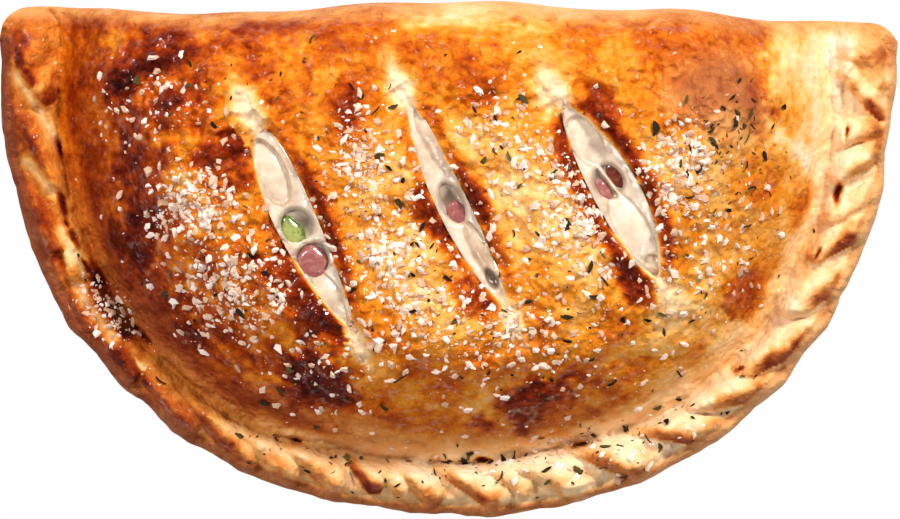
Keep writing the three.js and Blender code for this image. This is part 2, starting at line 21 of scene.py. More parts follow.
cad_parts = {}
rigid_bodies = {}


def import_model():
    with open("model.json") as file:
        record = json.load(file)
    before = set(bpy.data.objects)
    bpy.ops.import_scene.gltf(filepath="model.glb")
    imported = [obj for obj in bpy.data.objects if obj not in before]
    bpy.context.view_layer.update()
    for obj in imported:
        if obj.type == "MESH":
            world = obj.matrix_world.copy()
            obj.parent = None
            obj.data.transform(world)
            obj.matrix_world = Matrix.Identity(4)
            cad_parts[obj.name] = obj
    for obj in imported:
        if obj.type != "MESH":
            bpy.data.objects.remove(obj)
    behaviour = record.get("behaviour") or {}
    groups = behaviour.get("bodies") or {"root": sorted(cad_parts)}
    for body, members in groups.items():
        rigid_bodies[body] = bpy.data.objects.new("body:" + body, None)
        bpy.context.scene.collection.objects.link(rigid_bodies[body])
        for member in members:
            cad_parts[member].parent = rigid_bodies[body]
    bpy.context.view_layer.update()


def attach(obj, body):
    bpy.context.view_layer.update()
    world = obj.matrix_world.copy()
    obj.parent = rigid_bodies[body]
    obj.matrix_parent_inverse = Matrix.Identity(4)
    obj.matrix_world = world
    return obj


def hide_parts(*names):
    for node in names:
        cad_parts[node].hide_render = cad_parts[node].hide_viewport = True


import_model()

MM = 0.001
BODY = "root"
# How many places are measured at a time, to spare memory.
BATCH = 4000

Array = np.ndarray
Pair = tuple[float, float]
Row = tuple[float, ...]
Color = tuple[float, float, float, float]
Stops = tuple[tuple[float, str], ...]
Mesh = bpy.types.Mesh
Item = bpy.types.Object
Material = bpy.types.Material
Socket = bpy.types.NodeSocket
Adder = Callable[..., bpy.types.Node]

log = logging.getLogger("calzone")


# ------ shaping functions

def mix(low: Array, high: Array, share: Array) -> Array:
    """Returns the value at a share of the way from low to high."""
    return low + (high - low) * share


def bell(distance: Array, half: float) -> Array:
    """Returns a smooth hump, 1 in the middle."""
    return np.exp(-(distance / half) ** 2)


def step(low: float, high: float, value: Array) -> Array:
    """Returns a smooth step, 0 at low and 1 at high; high may be the smaller one."""
    t = np.clip((value - low) / (high - low), 0, 1)
    return t * t * (3 - 2 * t)


def arch(distance: Array, run: float, power: float) -> Array:
    """Returns a quarter of a rounded arch, 0 at the edge and 1 from the run onwards."""
    left = 1 - np.clip(distance / run, 0, 1)
    return (1 - left ** power) ** (1 / power)


def soft_max(a: Array, b: Array, blend: float) -> Array:
    """Returns the larger of two, rounded where they cross."""
    h = np.clip(0.5 + 0.5 * (a - b) / blend, 0, 1)
    return mix(b, a, h) + blend * h * (1 - h)


def noise(x: Array, y: Array, lump: float, seed: int, z: Array | float = 0.0) -> Array:
    """Smooth noise through space.

    Args:
        x, y, z: places in millimetres.
        lump: size of the lumps in millimetres.
        seed: which noise it is.

    Returns:
        Values of about -1 to 1.
    """
    table = np.random.default_rng(seed).uniform(-1, 1, (64, 64, 64))
    turn = 0.7 + 1.3 * seed
    u = (x * math.cos(turn) - y * math.sin(turn)) / lump + 101.3
    v = (x * math.sin(turn) + y * math.cos(turn)) / lump + 57.9
    w = z / lump + np.zeros_like(u) + 0.37
    total = np.zeros_like(u)
    cells = [np.floor(k).astype(int) for k in (u, v, w)]
    parts = [step(0, 1, k - cell) for k, cell in zip((u, v, w), cells)]
    for corner in np.ndindex(2, 2, 2):
        index = tuple((cell + c) & 63 for cell, c in zip(cells, corner))
        weight = np.prod([part if c else 1 - part for part, c in zip(parts, corner)], axis=0)
        total += table[index] * weight
    return 1.35 * total


def rough_noise(x: Array, y: Array, lump: float, seed: int, z: Array | float = 0.0,
                layers: int = 3) -> Array:
    """Noise with finer layers added, each half as strong as the one before.

    Args:
        x, y, z: places in millimetres.
        lump: size of the coarsest lumps in millimetres.
        seed: which noise it is.
        layers: how many there are.

    Returns:
        Values of about -1 to 1.
    """
    total = np.zeros_like(x)
    for k in range(layers):
        total += noise(x, y, lump / 2 ** k, seed + 17 * k, z) / 2 ** k
    return total / 1.4


def bubbles(x: Array, y: Array, spacing: float, seed: int) -> Array:
    """Round bumps of uneven size, strewn over a plane.

    Args:
        x, y: flat places.
        spacing: mean distance from one bump to the next in millimetres.
        seed: which pattern it is.

    Returns:
        Values from 0 between the bumps to 1 on top of them.
    """
    table = np.random.default_rng(seed).random((3, 128, 128))
    u, v = x / spacing + 71.3, y / spacing + 43.7
    i, j = np.floor(u).astype(int), np.floor(v).astype(int)
    best = np.zeros_like(x)
    for di in (-1, 0, 1):
        for dj in (-1, 0, 1):
            off_u, off_v, size = table[:, (i + di) & 127, (j + dj) & 127]
            gap = (u - i - di - off_u) ** 2 + (v - j - dj - off_v) ** 2
            bump = np.clip(1 - gap / (0.3 + 0.6 * size) ** 2, 0, 1)
            best = np.maximum(best, bump * (0.4 + 0.6 * size))
    return best


@dataclass(frozen=True)
class Oval:
    """An ellipse seen from above.

    Attributes:
        at: its middle.
        size: its two radii, the first along the turn.
        turn: degrees from +X.
    """

    at: Pair
    size: Pair
    turn: float

    @classmethod
    def table(cls, *rows: Row) -> tuple[Self, ...]:
        """Returns ovals from rows of middle, radii, turn and what else this kind has."""
        return tuple(cls((x, y), (a, b), turn, *more) for x, y, a, b, turn, *more in rows)

    def axis(self) -> Pair:
        """Returns the cosine and the sine of the turn."""
        return math.cos(math.radians(self.turn)), math.sin(math.radians(self.turn))

    def out(self, x: Array, y: Array) -> Array:
        """Measures places against the ellipse.

        Args:
            x, y: flat places.

        Returns:
            How far out they are: 0 in the middle and 1 on the ellipse.
        """
        c, s = self.axis()
        dx, dy = x - self.at[0], y - self.at[1]
        return np.hypot((dx * c + dy * s) / self.size[0], (dy * c - dx * s) / self.size[1])


# ------ meshes and nodes

def linear(hex_code: str) -> Color:
    """Returns the linear colour of an sRGB hex value such as #E8961E."""
    parts = [int(hex_code[i:i + 2], 16) / 255 for i in (1, 3, 5)]
    return (*(p / 12.92 if p <= 0.04045 else ((p + 0.055) / 1.055) ** 2.4 for p in parts), 1.0)


def triangulate(points: Array, ring: int) -> Array:
    """Joins flat points to triangles.

    Args:
        points: places, those of the closed ring round them first.
        ring: how many of them make that ring.

    Returns:
        Triangles as rows of three indices, facing up.
    """
    edges = [(i, (i + 1) % ring) for i in range(ring)]
    flat = [Vector((float(px), float(py))) for px, py in points]
    _, _, faces, origin, _, _ = delaunay_2d_cdt(flat, edges, [], 1, 1e-5, True)
    faces = np.array([ids[0] for ids in origin])[np.array(faces)]
    area = turning(points, faces)
    faces[area < 0] = faces[area < 0][:, ::-1]
    # A triangle in a hollow of the outline runs round the other way than the ring does.
    outside = (faces < ring).all(axis=1) & (turning(points, np.sort(faces, axis=1)) < 0)
    return faces[~outside & (np.abs(area) > 1e-9)]


def turning(points: Array, faces: Array) -> Array:
    """Returns twice the area of each flat triangle, negative if it runs clockwise."""
    a, b, c = (points[faces[:, k]] for k in range(3))
    return (b[:, 0] - a[:, 0]) * (c[:, 1] - a[:, 1]) - (b[:, 1] - a[:, 1]) * (c[:, 0] - a[:, 0])


def ring_side(points: Array, places: Array) -> tuple[Array, Array]:
    """How far places are from a closed ring.

    Args:
        points: the ring, counter-clockwise.
        places: flat places.

    Returns:
        The distance to the nearest point of the ring, and whether each place is inside.
    """
    ahead = np.roll(points, -1, axis=0) - np.roll(points, 1, axis=0)
    distance = np.empty(len(places))
    inside = np.empty(len(places), dtype=bool)
    for start in range(0, len(places), BATCH):
        part = places[start:start + BATCH]
        gap = (part[:, None, 0] - points[None, :, 0]) ** 2
        gap += (part[:, None, 1] - points[None, :, 1]) ** 2
        best = gap.argmin(axis=1)
        distance[start:start + BATCH] = np.sqrt(gap[np.arange(len(part)), best])
        away = part - points[best]
        inside[start:start + BATCH] = ahead[best, 0] * away[:, 1] > ahead[best, 1] * away[:, 0]
    return distance, inside


def inward_of(ring: Array) -> Array:
    """Returns the way in, a millimetre long, at each point of a ring."""
    ahead = np.roll(ring, -1, axis=0) - np.roll(ring, 1, axis=0)
    return np.column_stack([-ahead[:, 1], ahead[:, 0]]) / np.hypot(*ahead.T)[:, None]


def hex_places(ring: Array, spacing: float, margin: float) -> Array:
    """Fills a ring with evenly spaced places.

    Args:
        ring: the closed ring.
        spacing: distance from place to place.
        margin: how far they stay away from the ring.

    Returns:
        The flat places.
    """
    low, high = ring.min(axis=0), ring.max(axis=0)
    rows = np.arange(low[1], high[1], spacing * math.sqrt(3) / 2)
    line = np.arange(low[0], high[0], spacing)
    x = np.concatenate([line + spacing / 2 * (k % 2) for k in range(len(rows))])
    places = np.column_stack([x, np.repeat(rows, len(line))])
    distance, inside = ring_side(ring, places)
    return places[inside & (distance > margin)]


def resample(points: Array, spacing: float) -> Array:
    """Spaces a closed ring's points evenly.

    Args:
        points: the ring.
        spacing: about how far apart the new points are.

    Returns:
        The new points.
    """
    closed = np.vstack([points, points[:1]])
    along = np.concatenate([[0], np.cumsum(np.hypot(*np.diff(closed, axis=0).T))])
    goal = np.linspace(0, along[-1], int(round(along[-1] / spacing)), endpoint=False)
    return np.column_stack([np.interp(goal, along, closed[:, k]) for k in range(2)])


def stitch(first: int, second: int, count: int) -> Array:
    """Joins two rings of points by a wall.

    Args:
        first: index of the lower ring's first point.
        second: index of the upper ring's first point.
        count: how many points each ring has.

    Returns:
        Triangles that face outwards.
    """
    i = np.arange(count)
    j = (i + 1) % count
    lower = np.column_stack([first + i, first + j, second + i])
    upper = np.column_stack([first + j, second + j, second + i])
    return np.vstack([lower, upper])


def new_mesh(name: str, points: Array, faces: Array, smooth: bool = True) -> Mesh:
    """Makes a mesh.

    Args:
        name: the mesh's name.
        points: places in millimetres.
        faces: rows of three or four indices.
        smooth: whether its faces are shaded smooth.

    Returns:
        The mesh, in metres.
    """
    mesh = bpy.data.meshes.new(name)
    mesh.from_pydata((points * MM).tolist(), [], faces.tolist())
    mesh.polygons.foreach_set("use_smooth", [smooth] * len(mesh.polygons))
    mesh.update()
    return mesh


def mesh_points(mesh: Mesh) -> Array:
    """Returns a mesh's points in millimetres."""
    flat = np.empty(len(mesh.vertices) * 3)
    mesh.vertices.foreach_get("co", flat)
    return flat.reshape(-1, 3) / MM


def set_field(mesh: Mesh, name: str, values: Array) -> None:
    """Stores a value for each point of a mesh."""
    attribute = mesh.attributes.new(name, "FLOAT", "POINT")
    attribute.data.foreach_set("value", values.astype(np.float32))


def new_object(name: str, mesh: Mesh, material: Material | None = None) -> Item:
    """Puts a mesh in the scene.

    Args:
        name: the object's name.
        mesh: its mesh.
        material: its one material, if it has none yet.

    Returns:
        The object, at the origin.
    """
    if material:
        mesh.materials.clear()
        mesh.materials.append(material)
    item = bpy.data.objects.new(name, mesh)
    bpy.context.scene.collection.objects.link(item)
    return item


def baked_mesh(item: Item, name: str) -> Mesh:
    """Applies an object's modifiers.

    Args:
        item: an object with modifiers, which lose their hold on it.
        name: the name of the new mesh.

    Returns:
        The plain mesh that they make.
    """
    graph = bpy.context.evaluated_depsgraph_get()
    mesh = bpy.data.meshes.new_from_object(item.evaluated_get(graph))
    mesh.name = name
    item.modifiers.clear()
    return mesh


def closed(mesh: Mesh) -> Mesh:
    """Merges a mesh's doubles and turns its faces outwards.

    Args:
        mesh: a mesh that encloses a space.

    Returns:
        The same mesh.
    """
    work = bmesh.new()
    work.from_mesh(mesh)
    bmesh.ops.remove_doubles(work, verts=work.verts, dist=1e-7)
    loose = [vert for vert in work.verts if not vert.link_faces]
    bmesh.ops.delete(work, geom=loose, context="VERTS")
    bmesh.ops.recalc_face_normals(work, faces=work.faces)
    work.to_mesh(mesh)
    work.free()
    mesh.update()
    return mesh


class Joining(Enum):
    """How a tool's solid changes another."""

    CUT = "DIFFERENCE"
    ADD = "UNION"


def combine(name: str, base: Mesh, tools: list[tuple[Joining, Mesh]]) -> Mesh:
    """Cuts solids out of a solid or joins them to it.

    Args:
        name: the name of the result.
        base: the solid to change.
        tools: the other solids, with what each does.

    Returns:
        The changed solid's mesh.
    """
    item = new_object(name + "_base", base)
    helpers = []
    for joining, mesh in tools:
        helpers.append(new_object(mesh.name, mesh))
        change = item.modifiers.new(mesh.name, "BOOLEAN")
        change.object = helpers[-1]
        change.operation = joining.value
        change.solver = "MANIFOLD"
    result = baked_mesh(item, name)
    for helper in [item, *helpers]:
        spare = helper.data
        bpy.data.objects.remove(helper)
        bpy.data.meshes.remove(spare)
    return result


def add_node(tree: bpy.types.NodeTree, kind: str, values: dict | None = None) -> bpy.types.Node:
    """Adds a node with its settings and links.

    Args:
        tree: the node tree.
        kind: the node's type.
        values: its settings by name first, where "stops" fills a colour ramp, and then a
            value or another node's socket for each input, by name or number.

    Returns:
        The node.
    """
    node = tree.nodes.new(kind)
    for name, value in (values or {}).items():
        if name == "stops":
            ramp = node.color_ramp
            while len(ramp.elements) < len(value):
                ramp.elements.new(1.0)
            for element, (place, hex_code) in zip(ramp.elements, value):
                element.position = place
                element.color = linear(hex_code)
        elif isinstance(name, str) and hasattr(node, name):
            setattr(node, name, value)
        elif isinstance(value, Socket):
            tree.links.new(value, node.inputs[name])
        else:
            node.inputs[name].default_value = value
    return node


def per_metre(size_mm: float) -> float:
    """Returns the scale of a pattern whose repeats are this many millimetres."""
    return 1 / (size_mm * MM)


def finish_piece(item: Item, slot: str, *nodes: str) -> Item:
    """Ties a finished piece to its body.

    Args:
        item: the piece.
        slot: the name of its material slot; not used.
        nodes: the solids that it stands for.

    Returns:
        The piece.
    """
    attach(item, BODY)
    if nodes:
        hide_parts(*nodes)
    log.info("%s: %d faces", item.name, len(item.data.polygons))
    return item


# ------ form of the calzone

@dataclass(frozen=True)
class Outline:
    """The calzone's edge seen from above: a straight fold, two corners and a round side."""

    half_length: float = 120.0
    corner_radius: float = 8.0
    rim_top: float = 58.0
    rim_depth: float = 126.6
    rim_power: float = 2.15
    rim_lean: float = 4.2
    # The fold's Y at even steps from the left corner to the right one.
    fold: Row = (
        67.4, 68.0, 67.3, 67.3, 66.5, 65.8, 65.4, 66.0, 66.2, 66.2, 66.8, 68.0, 68.6, 68.6, 68.4, 68.8,
        69.1, 68.6, 67.4, 66.8, 66.5, 66.7, 67.1, 66.4, 64.9, 63.8, 63.8, 64.0, 63.6, 63.2)
    fold_reach: float = 116.0
    rim_samples: int = 240

    def fold_line(self, x: Array) -> Array:
        """Returns the fold's Y at each X."""
        steps = np.linspace(-self.fold_reach, self.fold_reach, len(self.fold))
        return sum(np.interp(x + shift, steps, self.fold) for shift in (-3.0, -1.0, 1.0, 3.0)) / 4

    @cached_property
    def rim(self) -> Array:
        """Fine points along the round side, from the left corner to the right one."""
        angle = np.pi * np.arange(self.rim_samples + 1) / self.rim_samples
        across = np.abs(np.cos(angle)) ** (2 / self.rim_power) * np.sign(np.cos(angle))
        down = np.abs(np.sin(angle)) ** (2 / self.rim_power)
        x = -self.half_length * across + self.rim_lean * down ** 10
        return np.column_stack([x, self.rim_top - self.rim_depth * down])

    @cached_property
    def rim_along(self) -> Array:
        """Length along the round side at each of its fine points."""
        return np.concatenate([[0], np.cumsum(np.hypot(*np.diff(self.rim, axis=0).T))])

    def near_rim(self, x: Array, y: Array) -> tuple[Array, Array]:
        """Finds the nearest place on the round side.

        Args:
            x, y: flat places.

        Returns:
            How far away it is, and how far along the rim.
        """
        start, way = self.rim[:-1], np.diff(self.rim, axis=0)
        square = (way ** 2).sum(axis=1)
        length = np.diff(self.rim_along)
        distance, along = np.empty(len(x)), np.empty(len(x))
        for k in range(0, len(x), BATCH):
            dx = x[k:k + BATCH, None] - start[None, :, 0]
            dy = y[k:k + BATCH, None] - start[None, :, 1]
            t = np.clip((dx * way[:, 0] + dy * way[:, 1]) / square, 0, 1)
            gap = (dx - t * way[:, 0]) ** 2 + (dy - t * way[:, 1]) ** 2
            best = gap.argmin(axis=1)
            row = np.arange(len(best))
            distance[k:k + BATCH] = np.sqrt(gap[row, best])
            along[k:k + BATCH] = self.rim_along[best] + t[row, best] * length[best]
        return distance, along

    def ring(self, spacing: float) -> Array:
        """Joins the fold, the corners and the round side.

        Args:
            spacing: distance from point to point.

        Returns:
            The whole outline, counter-clockwise.
        """
        reach = self.half_length - self.corner_radius
        fold_x = np.linspace(reach, -reach, 200)
        fold = np.column_stack([fold_x, self.fold_line(fold_x)])
        corners = []
        for side, first, last in ((1, 5.0, 85.0), (-1, 95.0, 175.0)):
            middle = np.array([side * reach, self.fold_line(side * reach) - self.corner_radius])
            turn = np.radians(np.linspace(first, last, 12))
            corner = middle + self.corner_radius * np.column_stack([np.cos(turn), np.sin(turn)])
            corners.append(corner[corner[:, 1] > self.rim_top + 0.5])
        return resample(np.vstack([self.rim, corners[0], fold, corners[1]]), spacing)


@dataclass(frozen=True)
class Spots:
    """Places seen from above, with what the form needs to know of each."""

    x: Array
    y: Array
    distance: Array
    along: Array
    fold_gap: Array

    @classmethod
    def on(cls, outline: Outline, x: Array, y: Array) -> "Spots":
        """Returns the spots at the given places."""
        distance, along = outline.near_rim(x, y)
        return cls(x, y, distance, along, outline.fold_line(x) - y)


@dataclass(frozen=True)
class Finger:
    """A pleat that a finger pressed: a fold of dough from the crease out to the edge."""

    inner: Pair
    outer: Pair
    half: float
    rise: float
    bake: float


# Inner end, outer end, half width, rise and baking of each, from the left corner on.
FINGERS = tuple(Finger((x, y), (u, v), *more) for x, y, u, v, *more in (
    (-106.4, 61.9, -114.9, 56.1, 4.82, 2.2, .46), (-115.5, 57.7, -112.2, 47.5, 2.41, 2.4, .84),
    (-102.6, 50.7, -108.5, 43.7, 2.94, 3.0, .8), (-114.9, 29.8, -117.1, 39.5, 2.14, 2.0, .74),
    (-105.6, 21.0, -112.8, 36.8, 2.54, 4.6, .62), (-104.7, 3.6, -113.3, 15.9, 2.68, 4.2, .68),
    (-99.9, -3.3, -100.5, 2.5, 2.41, 3.4, .16), (-92.7, -8.2, -95.7, -1.2, 2.14, 3.4, .76),
    (-102.1, -14.6, -105.8, -2.8, 2.41, 3.6, .62), (-88.7, -18.3, -94.6, -10.3, 2.41, 3.0, .6),
    (-93.5, -22.6, -100.5, -12.4, 2.68, 3.2, .64), (-84.4, -24.7, -80.1, -30.1, 2.41, 2.4, .1),
    (-91.9, -21.5, -86.0, -30.6, 2.94, 4.0, .66), (-79.6, -32.2, -70.0, -45.1, 2.94, 4.6, .66),
    (-67.8, -37.1, -55.0, -54.4, 3.21, 5.2, .64), (-53.4, -46.7, -43.7, -57.4, 3.21, 4.6, .34),
    (-42.1, -49.4, -30.4, -60.6, 3.21, 4.8, .44), (-26.1, -51.5, -20.2, -60.6, 2.68, 4.4, .66),
    (-20.7, -52.6, -12.7, -62.2, 2.68, 4.0, .24), (-12.2, -55.3, -4.7, -64.3, 2.94, 4.6, .42),
    (-2.0, -54.4, 12.4, -64.6, 3.21, 5.2, .5), (9.8, -53.9, 19.9, -61.7, 2.41, 4.0, .3),
    (17.3, -53.4, 34.9, -62.5, 3.21, 5.4, .24), (33.8, -49.1, 53.1, -57.4, 3.48, 5.4, .54),
    (48.8, -43.5, 72.9, -47.8, 3.48, 5.4, .54), (65.4, -38.1, 85.8, -34.4, 3.21, 5.0, .38),
    (78.8, -28.5, 97.5, -19.9, 3.75, 5.4, .66), (90.6, -12.4, 106.1, -4.9, 3.48, 5.0, .38),
    (98.1, 2.0, 112.0, 9.5, 3.21, 5.2, .7), (101.3, 11.6, 114.6, 18.6, 2.68, 4.0, .22),
    (103.9, 22.9, 115.7, 29.3, 2.94, 4.8, .44), (103.4, 32.0, 116.8, 35.2, 2.68, 4.0, .26),
    (105.6, 50.2, 116.3, 37.9, 2.41, 4.6, .62), (107.7, 56.1, 114.6, 48.6, 4.55, 3.4, .26),
))


@dataclass(frozen=True)
class Pleating:
    """What the rim knows of places on it.

    Attributes:
        rise: height above the valleys between the fingers.
        side: place across the highest finger, from -1 on its open side to 1 under its steep one.
        share: place along that finger, 0 at its inner end and 1 at its outer one.
        crest: how dark that finger is baked.
    """

    rise: Array
    side: Array
    share: Array
    crest: Array


@dataclass(frozen=True)
class PleatedRim:
    """The crimped rim: finger pleats that overlap like the strands of a rope."""

    length: float
    fingers: tuple[Finger, ...] = FINGERS
    widths: Row = (16, 13.5, 13, 12.5, 12, 13.5, 14.5, 16, 14, 12.5, 14.5, 15.5, 19)
    crease_height: float = 5.2
    height: float = 7.6
    edge_round: float = 6.0
    edge_share: float = 0.42
    open_side: Pair = (0.35, 0.94)
    spread: float = 1.7
    # How far the edge swells out, at even steps from the left corner to the right one.
    swells: Row = (
        .4, .0, .9, 1.1, .6, 1.3, 1.6, 1.5, 2.2, .4, .8, -.3, 1.2, .3, .5, .8, .1, .2,
        -.8, .0, -.6, .7, -.5, .0, -.6, .0, -.1, .6, 1.2, .4, 1.5, .6, 1.7, .6, .5, 1.0,
        .7, -.8, -.7, .1, -.2)

    def width(self, along: Array) -> Array:
        """Finds how far the crease is from the edge.

        Args:
            along: length along the rim.

        Returns:
            The distances.
        """
        place = np.clip(along / self.length, 0, 0.9999) * (len(self.widths) - 1)
        low = place.astype(int)
        widths = np.array(self.widths)
        return mix(widths[low], widths[low + 1], step(0, 1, place - low))

    def pleating(self, x: Array, y: Array) -> Pleating:
        """Finds the finger that stands highest at each place.

        Args:
            x, y: flat places.

        Returns:
            The height there, and where on that finger each place is.
        """
        rise, side, share, crest = (np.zeros_like(x) for _ in range(4))
        side -= 1
        shift = 0.5 * noise(x, y, 4.5, 73)
        for finger in self.fingers:
            dx, dy = finger.outer[0] - finger.inner[0], finger.outer[1] - finger.inner[1]
            off_x, off_y = x - finger.inner[0], y - finger.inner[1]
            t = np.clip((off_x * dx + off_y * dy) / (dx * dx + dy * dy), 0, 1)
            off_x, off_y = off_x - t * dx + shift, off_y - t * dy - shift
            away = np.maximum(np.hypot(off_x, off_y), 1e-6)
            opened = (off_x * self.open_side[0] + off_y * self.open_side[1]) / away
            half = finger.half * mix(1, self.spread, np.clip(opened, 0, 1))
            across = np.clip(away / half, 0, 1)
            lift = finger.rise * (1 - across ** 2) ** 0.75
            best = lift > rise
            rise = np.where(best, lift, rise)
            side = np.where(best, -opened * across, side)
            share = np.where(best, t, share)
            crest = np.where(best, finger.bake, crest)
        return Pleating(rise, side, share, crest)

    def surface(self, spots: Spots) -> Array:
        """Shapes the rim.

        Args:
            spots: places on the crust.

        Returns:
            Its height.
        """
        share = np.clip(1 - spots.distance / self.width(spots.along), 0, 1)
        body = mix(self.crease_height, self.height, step(0, 0.35, share))
        window = step(0, 0.3, share) * mix(1, 0.65, step(0.7, 1, share))
        height = body + self.pleating(spots.x, spots.y).rise * window
        # The lower sheet of dough shows as a thin roll outside the pleats.
        height -= 1.5 * bell(spots.distance - 2.8, 0.9)
        return height * mix(self.edge_share, 1, arch(spots.distance, self.edge_round, 2))

    def edge_out(self, spots: Spots) -> Array:
        """Lets the edge swell and draw in.

        Args:
            spots: places on the crust.

        Returns:
            How far each place moves outwards.
        """
        steps = np.linspace(0, self.length, len(self.swells))
        out = np.interp(spots.along, steps, self.swells) * step(2, 10, spots.fold_gap)
        out += 0.3 * noise(spots.x, spots.y, 5.0, 71) + 0.15 * noise(spots.x, spots.y, 2.2, 72)
        return out * step(12, 0, spots.distance)


@dataclass(frozen=True)
class Cut:
    """A slash through the top crust, with edges that curl up."""

    head: Pair
    tail: Pair
    half_width: float
    bow: float
    widest: float
    gully_depth: float = 4.2
    gully_half: float = 12.0
    lip_rise: float = 1.8
    lip_out: float = 3.8
    lip_half: float = 2.8
    roll: float = 1.5
    # How dark each lip is burnt, at even steps from head to tail.
    burn_east: Row = (0.5, 0.5)
    burn_west: Row = (0.5, 0.5)

    @property
    def length(self) -> float:
        """Length from head to tail."""
        return math.dist(self.head, self.tail)

    def place(self, x: Array, y: Array) -> tuple[Array, Array]:
        """Gives places in the cut's own frame.

        Args:
            x, y: flat places.

        Returns:
            The share of the way from head to tail, and the distance to the cut's left side.
        """
        dx, dy = self.tail[0] - self.head[0], self.tail[1] - self.head[1]
        a = ((x - self.head[0]) * dx + (y - self.head[1]) * dy) / self.length ** 2
        side = (-(x - self.head[0]) * dy + (y - self.head[1]) * dx) / self.length
        inside = np.clip(a, 0, 1)
        return a, side - self.bow * 4 * inside * (1 - inside)

    def point(self, a: Array, q: Array) -> tuple[Array, Array]:
        """Finds places from the cut's own frame.

        Args:
            a: share of the way from head to tail.
            q: distance to the cut's left side.

        Returns:
            X and Y.
        """
        dx, dy = self.tail[0] - self.head[0], self.tail[1] - self.head[1]
        inside = np.clip(a, 0, 1)
        side = q + self.bow * 4 * inside * (1 - inside)
        x = self.head[0] + a * dx - side * dy / self.length
        y = self.head[1] + a * dy + side * dx / self.length
        return x, y

    def opening(self, a: Array) -> Array:
        """Returns half of the opening at each share of the way."""
        return self.half_width * np.sin(np.pi * np.clip(a, 0, 1) ** self.widest) ** 0.6

    def burn(self, x: Array, y: Array, ragged: Array) -> Array:
        """Burns the lips.

        Args:
            x, y: flat places.
            ragged: noise that makes the border uneven.

        Returns:
            How dark each place is burnt.
        """
        a, q = self.place(x, y)
        east, west = (np.interp(a, np.linspace(0, 1, len(values)), values)
                      for values in (self.burn_east, self.burn_west))
        amount = np.where(q > 0, east, west)
        out = np.abs(q) - self.opening(a) - 1.9 - 0.7 * amount + 1.6 * ragged
        return amount * bell(out, 1.5 + 0.9 * amount) * step(-0.10, 0.03, a) * step(1.10, 0.97, a)

    def relief(self, x: Array, y: Array) -> Array:
        """Lets the dough sag along the cut and rise beside it.

        Args:
            x, y: flat places.

        Returns:
            How far the surface is raised.
        """
        a, q = self.place(x, y)
        reach = step(-0.4, 0.1, a) * step(1.45, 0.9, a)
        lip = step(-0.05, 0.15, a) * step(1.08, 0.85, a)
        beside = bell(np.abs(q) - self.opening(a) - self.lip_out, self.lip_half)
        return self.lip_rise * beside * lip - self.gully_depth * bell(q, self.gully_half) * reach

    def edge_gap(self, x: Array, y: Array) -> Array:
        """Measures from the opening.

        Args:
            x, y: flat places.

        Returns:
            The distance outside it, negative inside it.
        """
        a, q = self.place(x, y)
        past = np.maximum(np.maximum(-a, a - 1), 0) * self.length
        return np.where(past > 0, np.hypot(past, q), np.abs(q) - self.opening(a))

    def roll_down(self, x: Array, y: Array) -> Array:
        """Rolls the edge of the crust down into the cut.

        Args:
            x, y: flat places.

        Returns:
            How far the surface is lowered.
        """
        a, q = self.place(x, y)
        fade = step(-0.16, 0.03, a) * step(1.14, 0.97, a)
        radius = np.maximum(self.roll * fade, 0.01)
        e = np.abs(q) - self.opening(a)
        t = np.clip(1 - e / radius, 0, 1)
        inside = np.where((a > 0) & (a < 1), np.clip(-e, 0, 2) * 2, 0)
        return radius * (1 - np.sqrt(1 - t * t)) + inside


CUTS = (
    Cut(head=(-50.2, 33.3), tail=(-26.4, -17.5), half_width=5.1, bow=-1.2, widest=0.72,
        burn_east=(.15, .5, .75, .9, 1.0, .95, .8, .45, .15),
        burn_west=(0, 0, .1, .15, .4, .85, .95, .95, .7)),
    Cut(head=(-10.3, 40.3), tail=(14.6, -11.6), half_width=3.7, bow=-1.2, widest=0.95,
        burn_east=(.3, .65, .4, .8, 1.0, .75, .6, .4, .3),
        burn_west=(.1, .35, .35, .5, .9, .9, .5, .75, .9)),
    Cut(head=(30.9, 40.0), tail=(55.0, -4.9), half_width=5.7, bow=1.2, widest=1.0,
        burn_east=(.7, .95, 1.0, 1.0, 1.05, 1.05, 1.0, .8, .3),
        burn_west=(.3, .8, .95, .95, .95, 1.0, 1.0, .95, .8)),
)


@dataclass(frozen=True)
class Blister(Oval):
    """A raised or sunken place in the skin."""

    rise: float


BLISTERS = Blister.table(
    (-89, 48.6, 8, 5, -10, 1.6), (-87.6, 45.5, 4, 2.5, 0, -1.1), (-78, 53, 5, 3, 20, 0.9),
    (-74, 41, 5, 3.4, 60, 1.3), (-75, 27, 4.5, 3, 40, 0.9), (-59.3, 27, 6, 5, -60, 1.0),
    (-84, 6, 8, 5.5, -40, 0.9), (-34, -34, 8, 6, 20, 1.2), (6.6, 47, 7, 6, 0, 0.8),
    (72.4, 37, 10, 14, 10, 1.1), (24, -38, 9, 4, 10, 0.8), (80, -10, 5, 7, -45, 0.8),
    (-27.4, 39.5, 4, 7, 0, 0.7), (-109, 45, 4.5, 5, 0, 1.6), (-111, 54, 3, 2.5, 0, 1.0),
)


@dataclass(frozen=True)
class Gap(Oval):
    """A slit in the crease, where the sheets of dough didn't close; its darkness is painted shade."""

    def depth(self, x: Array, y: Array) -> Array:
        """Returns how deep the slit is, 0 outside it and 1 in its middle."""
        return step(1.25, 0.35, self.out(x, y) + 0.35 * noise(x, y, 1.8, 23))


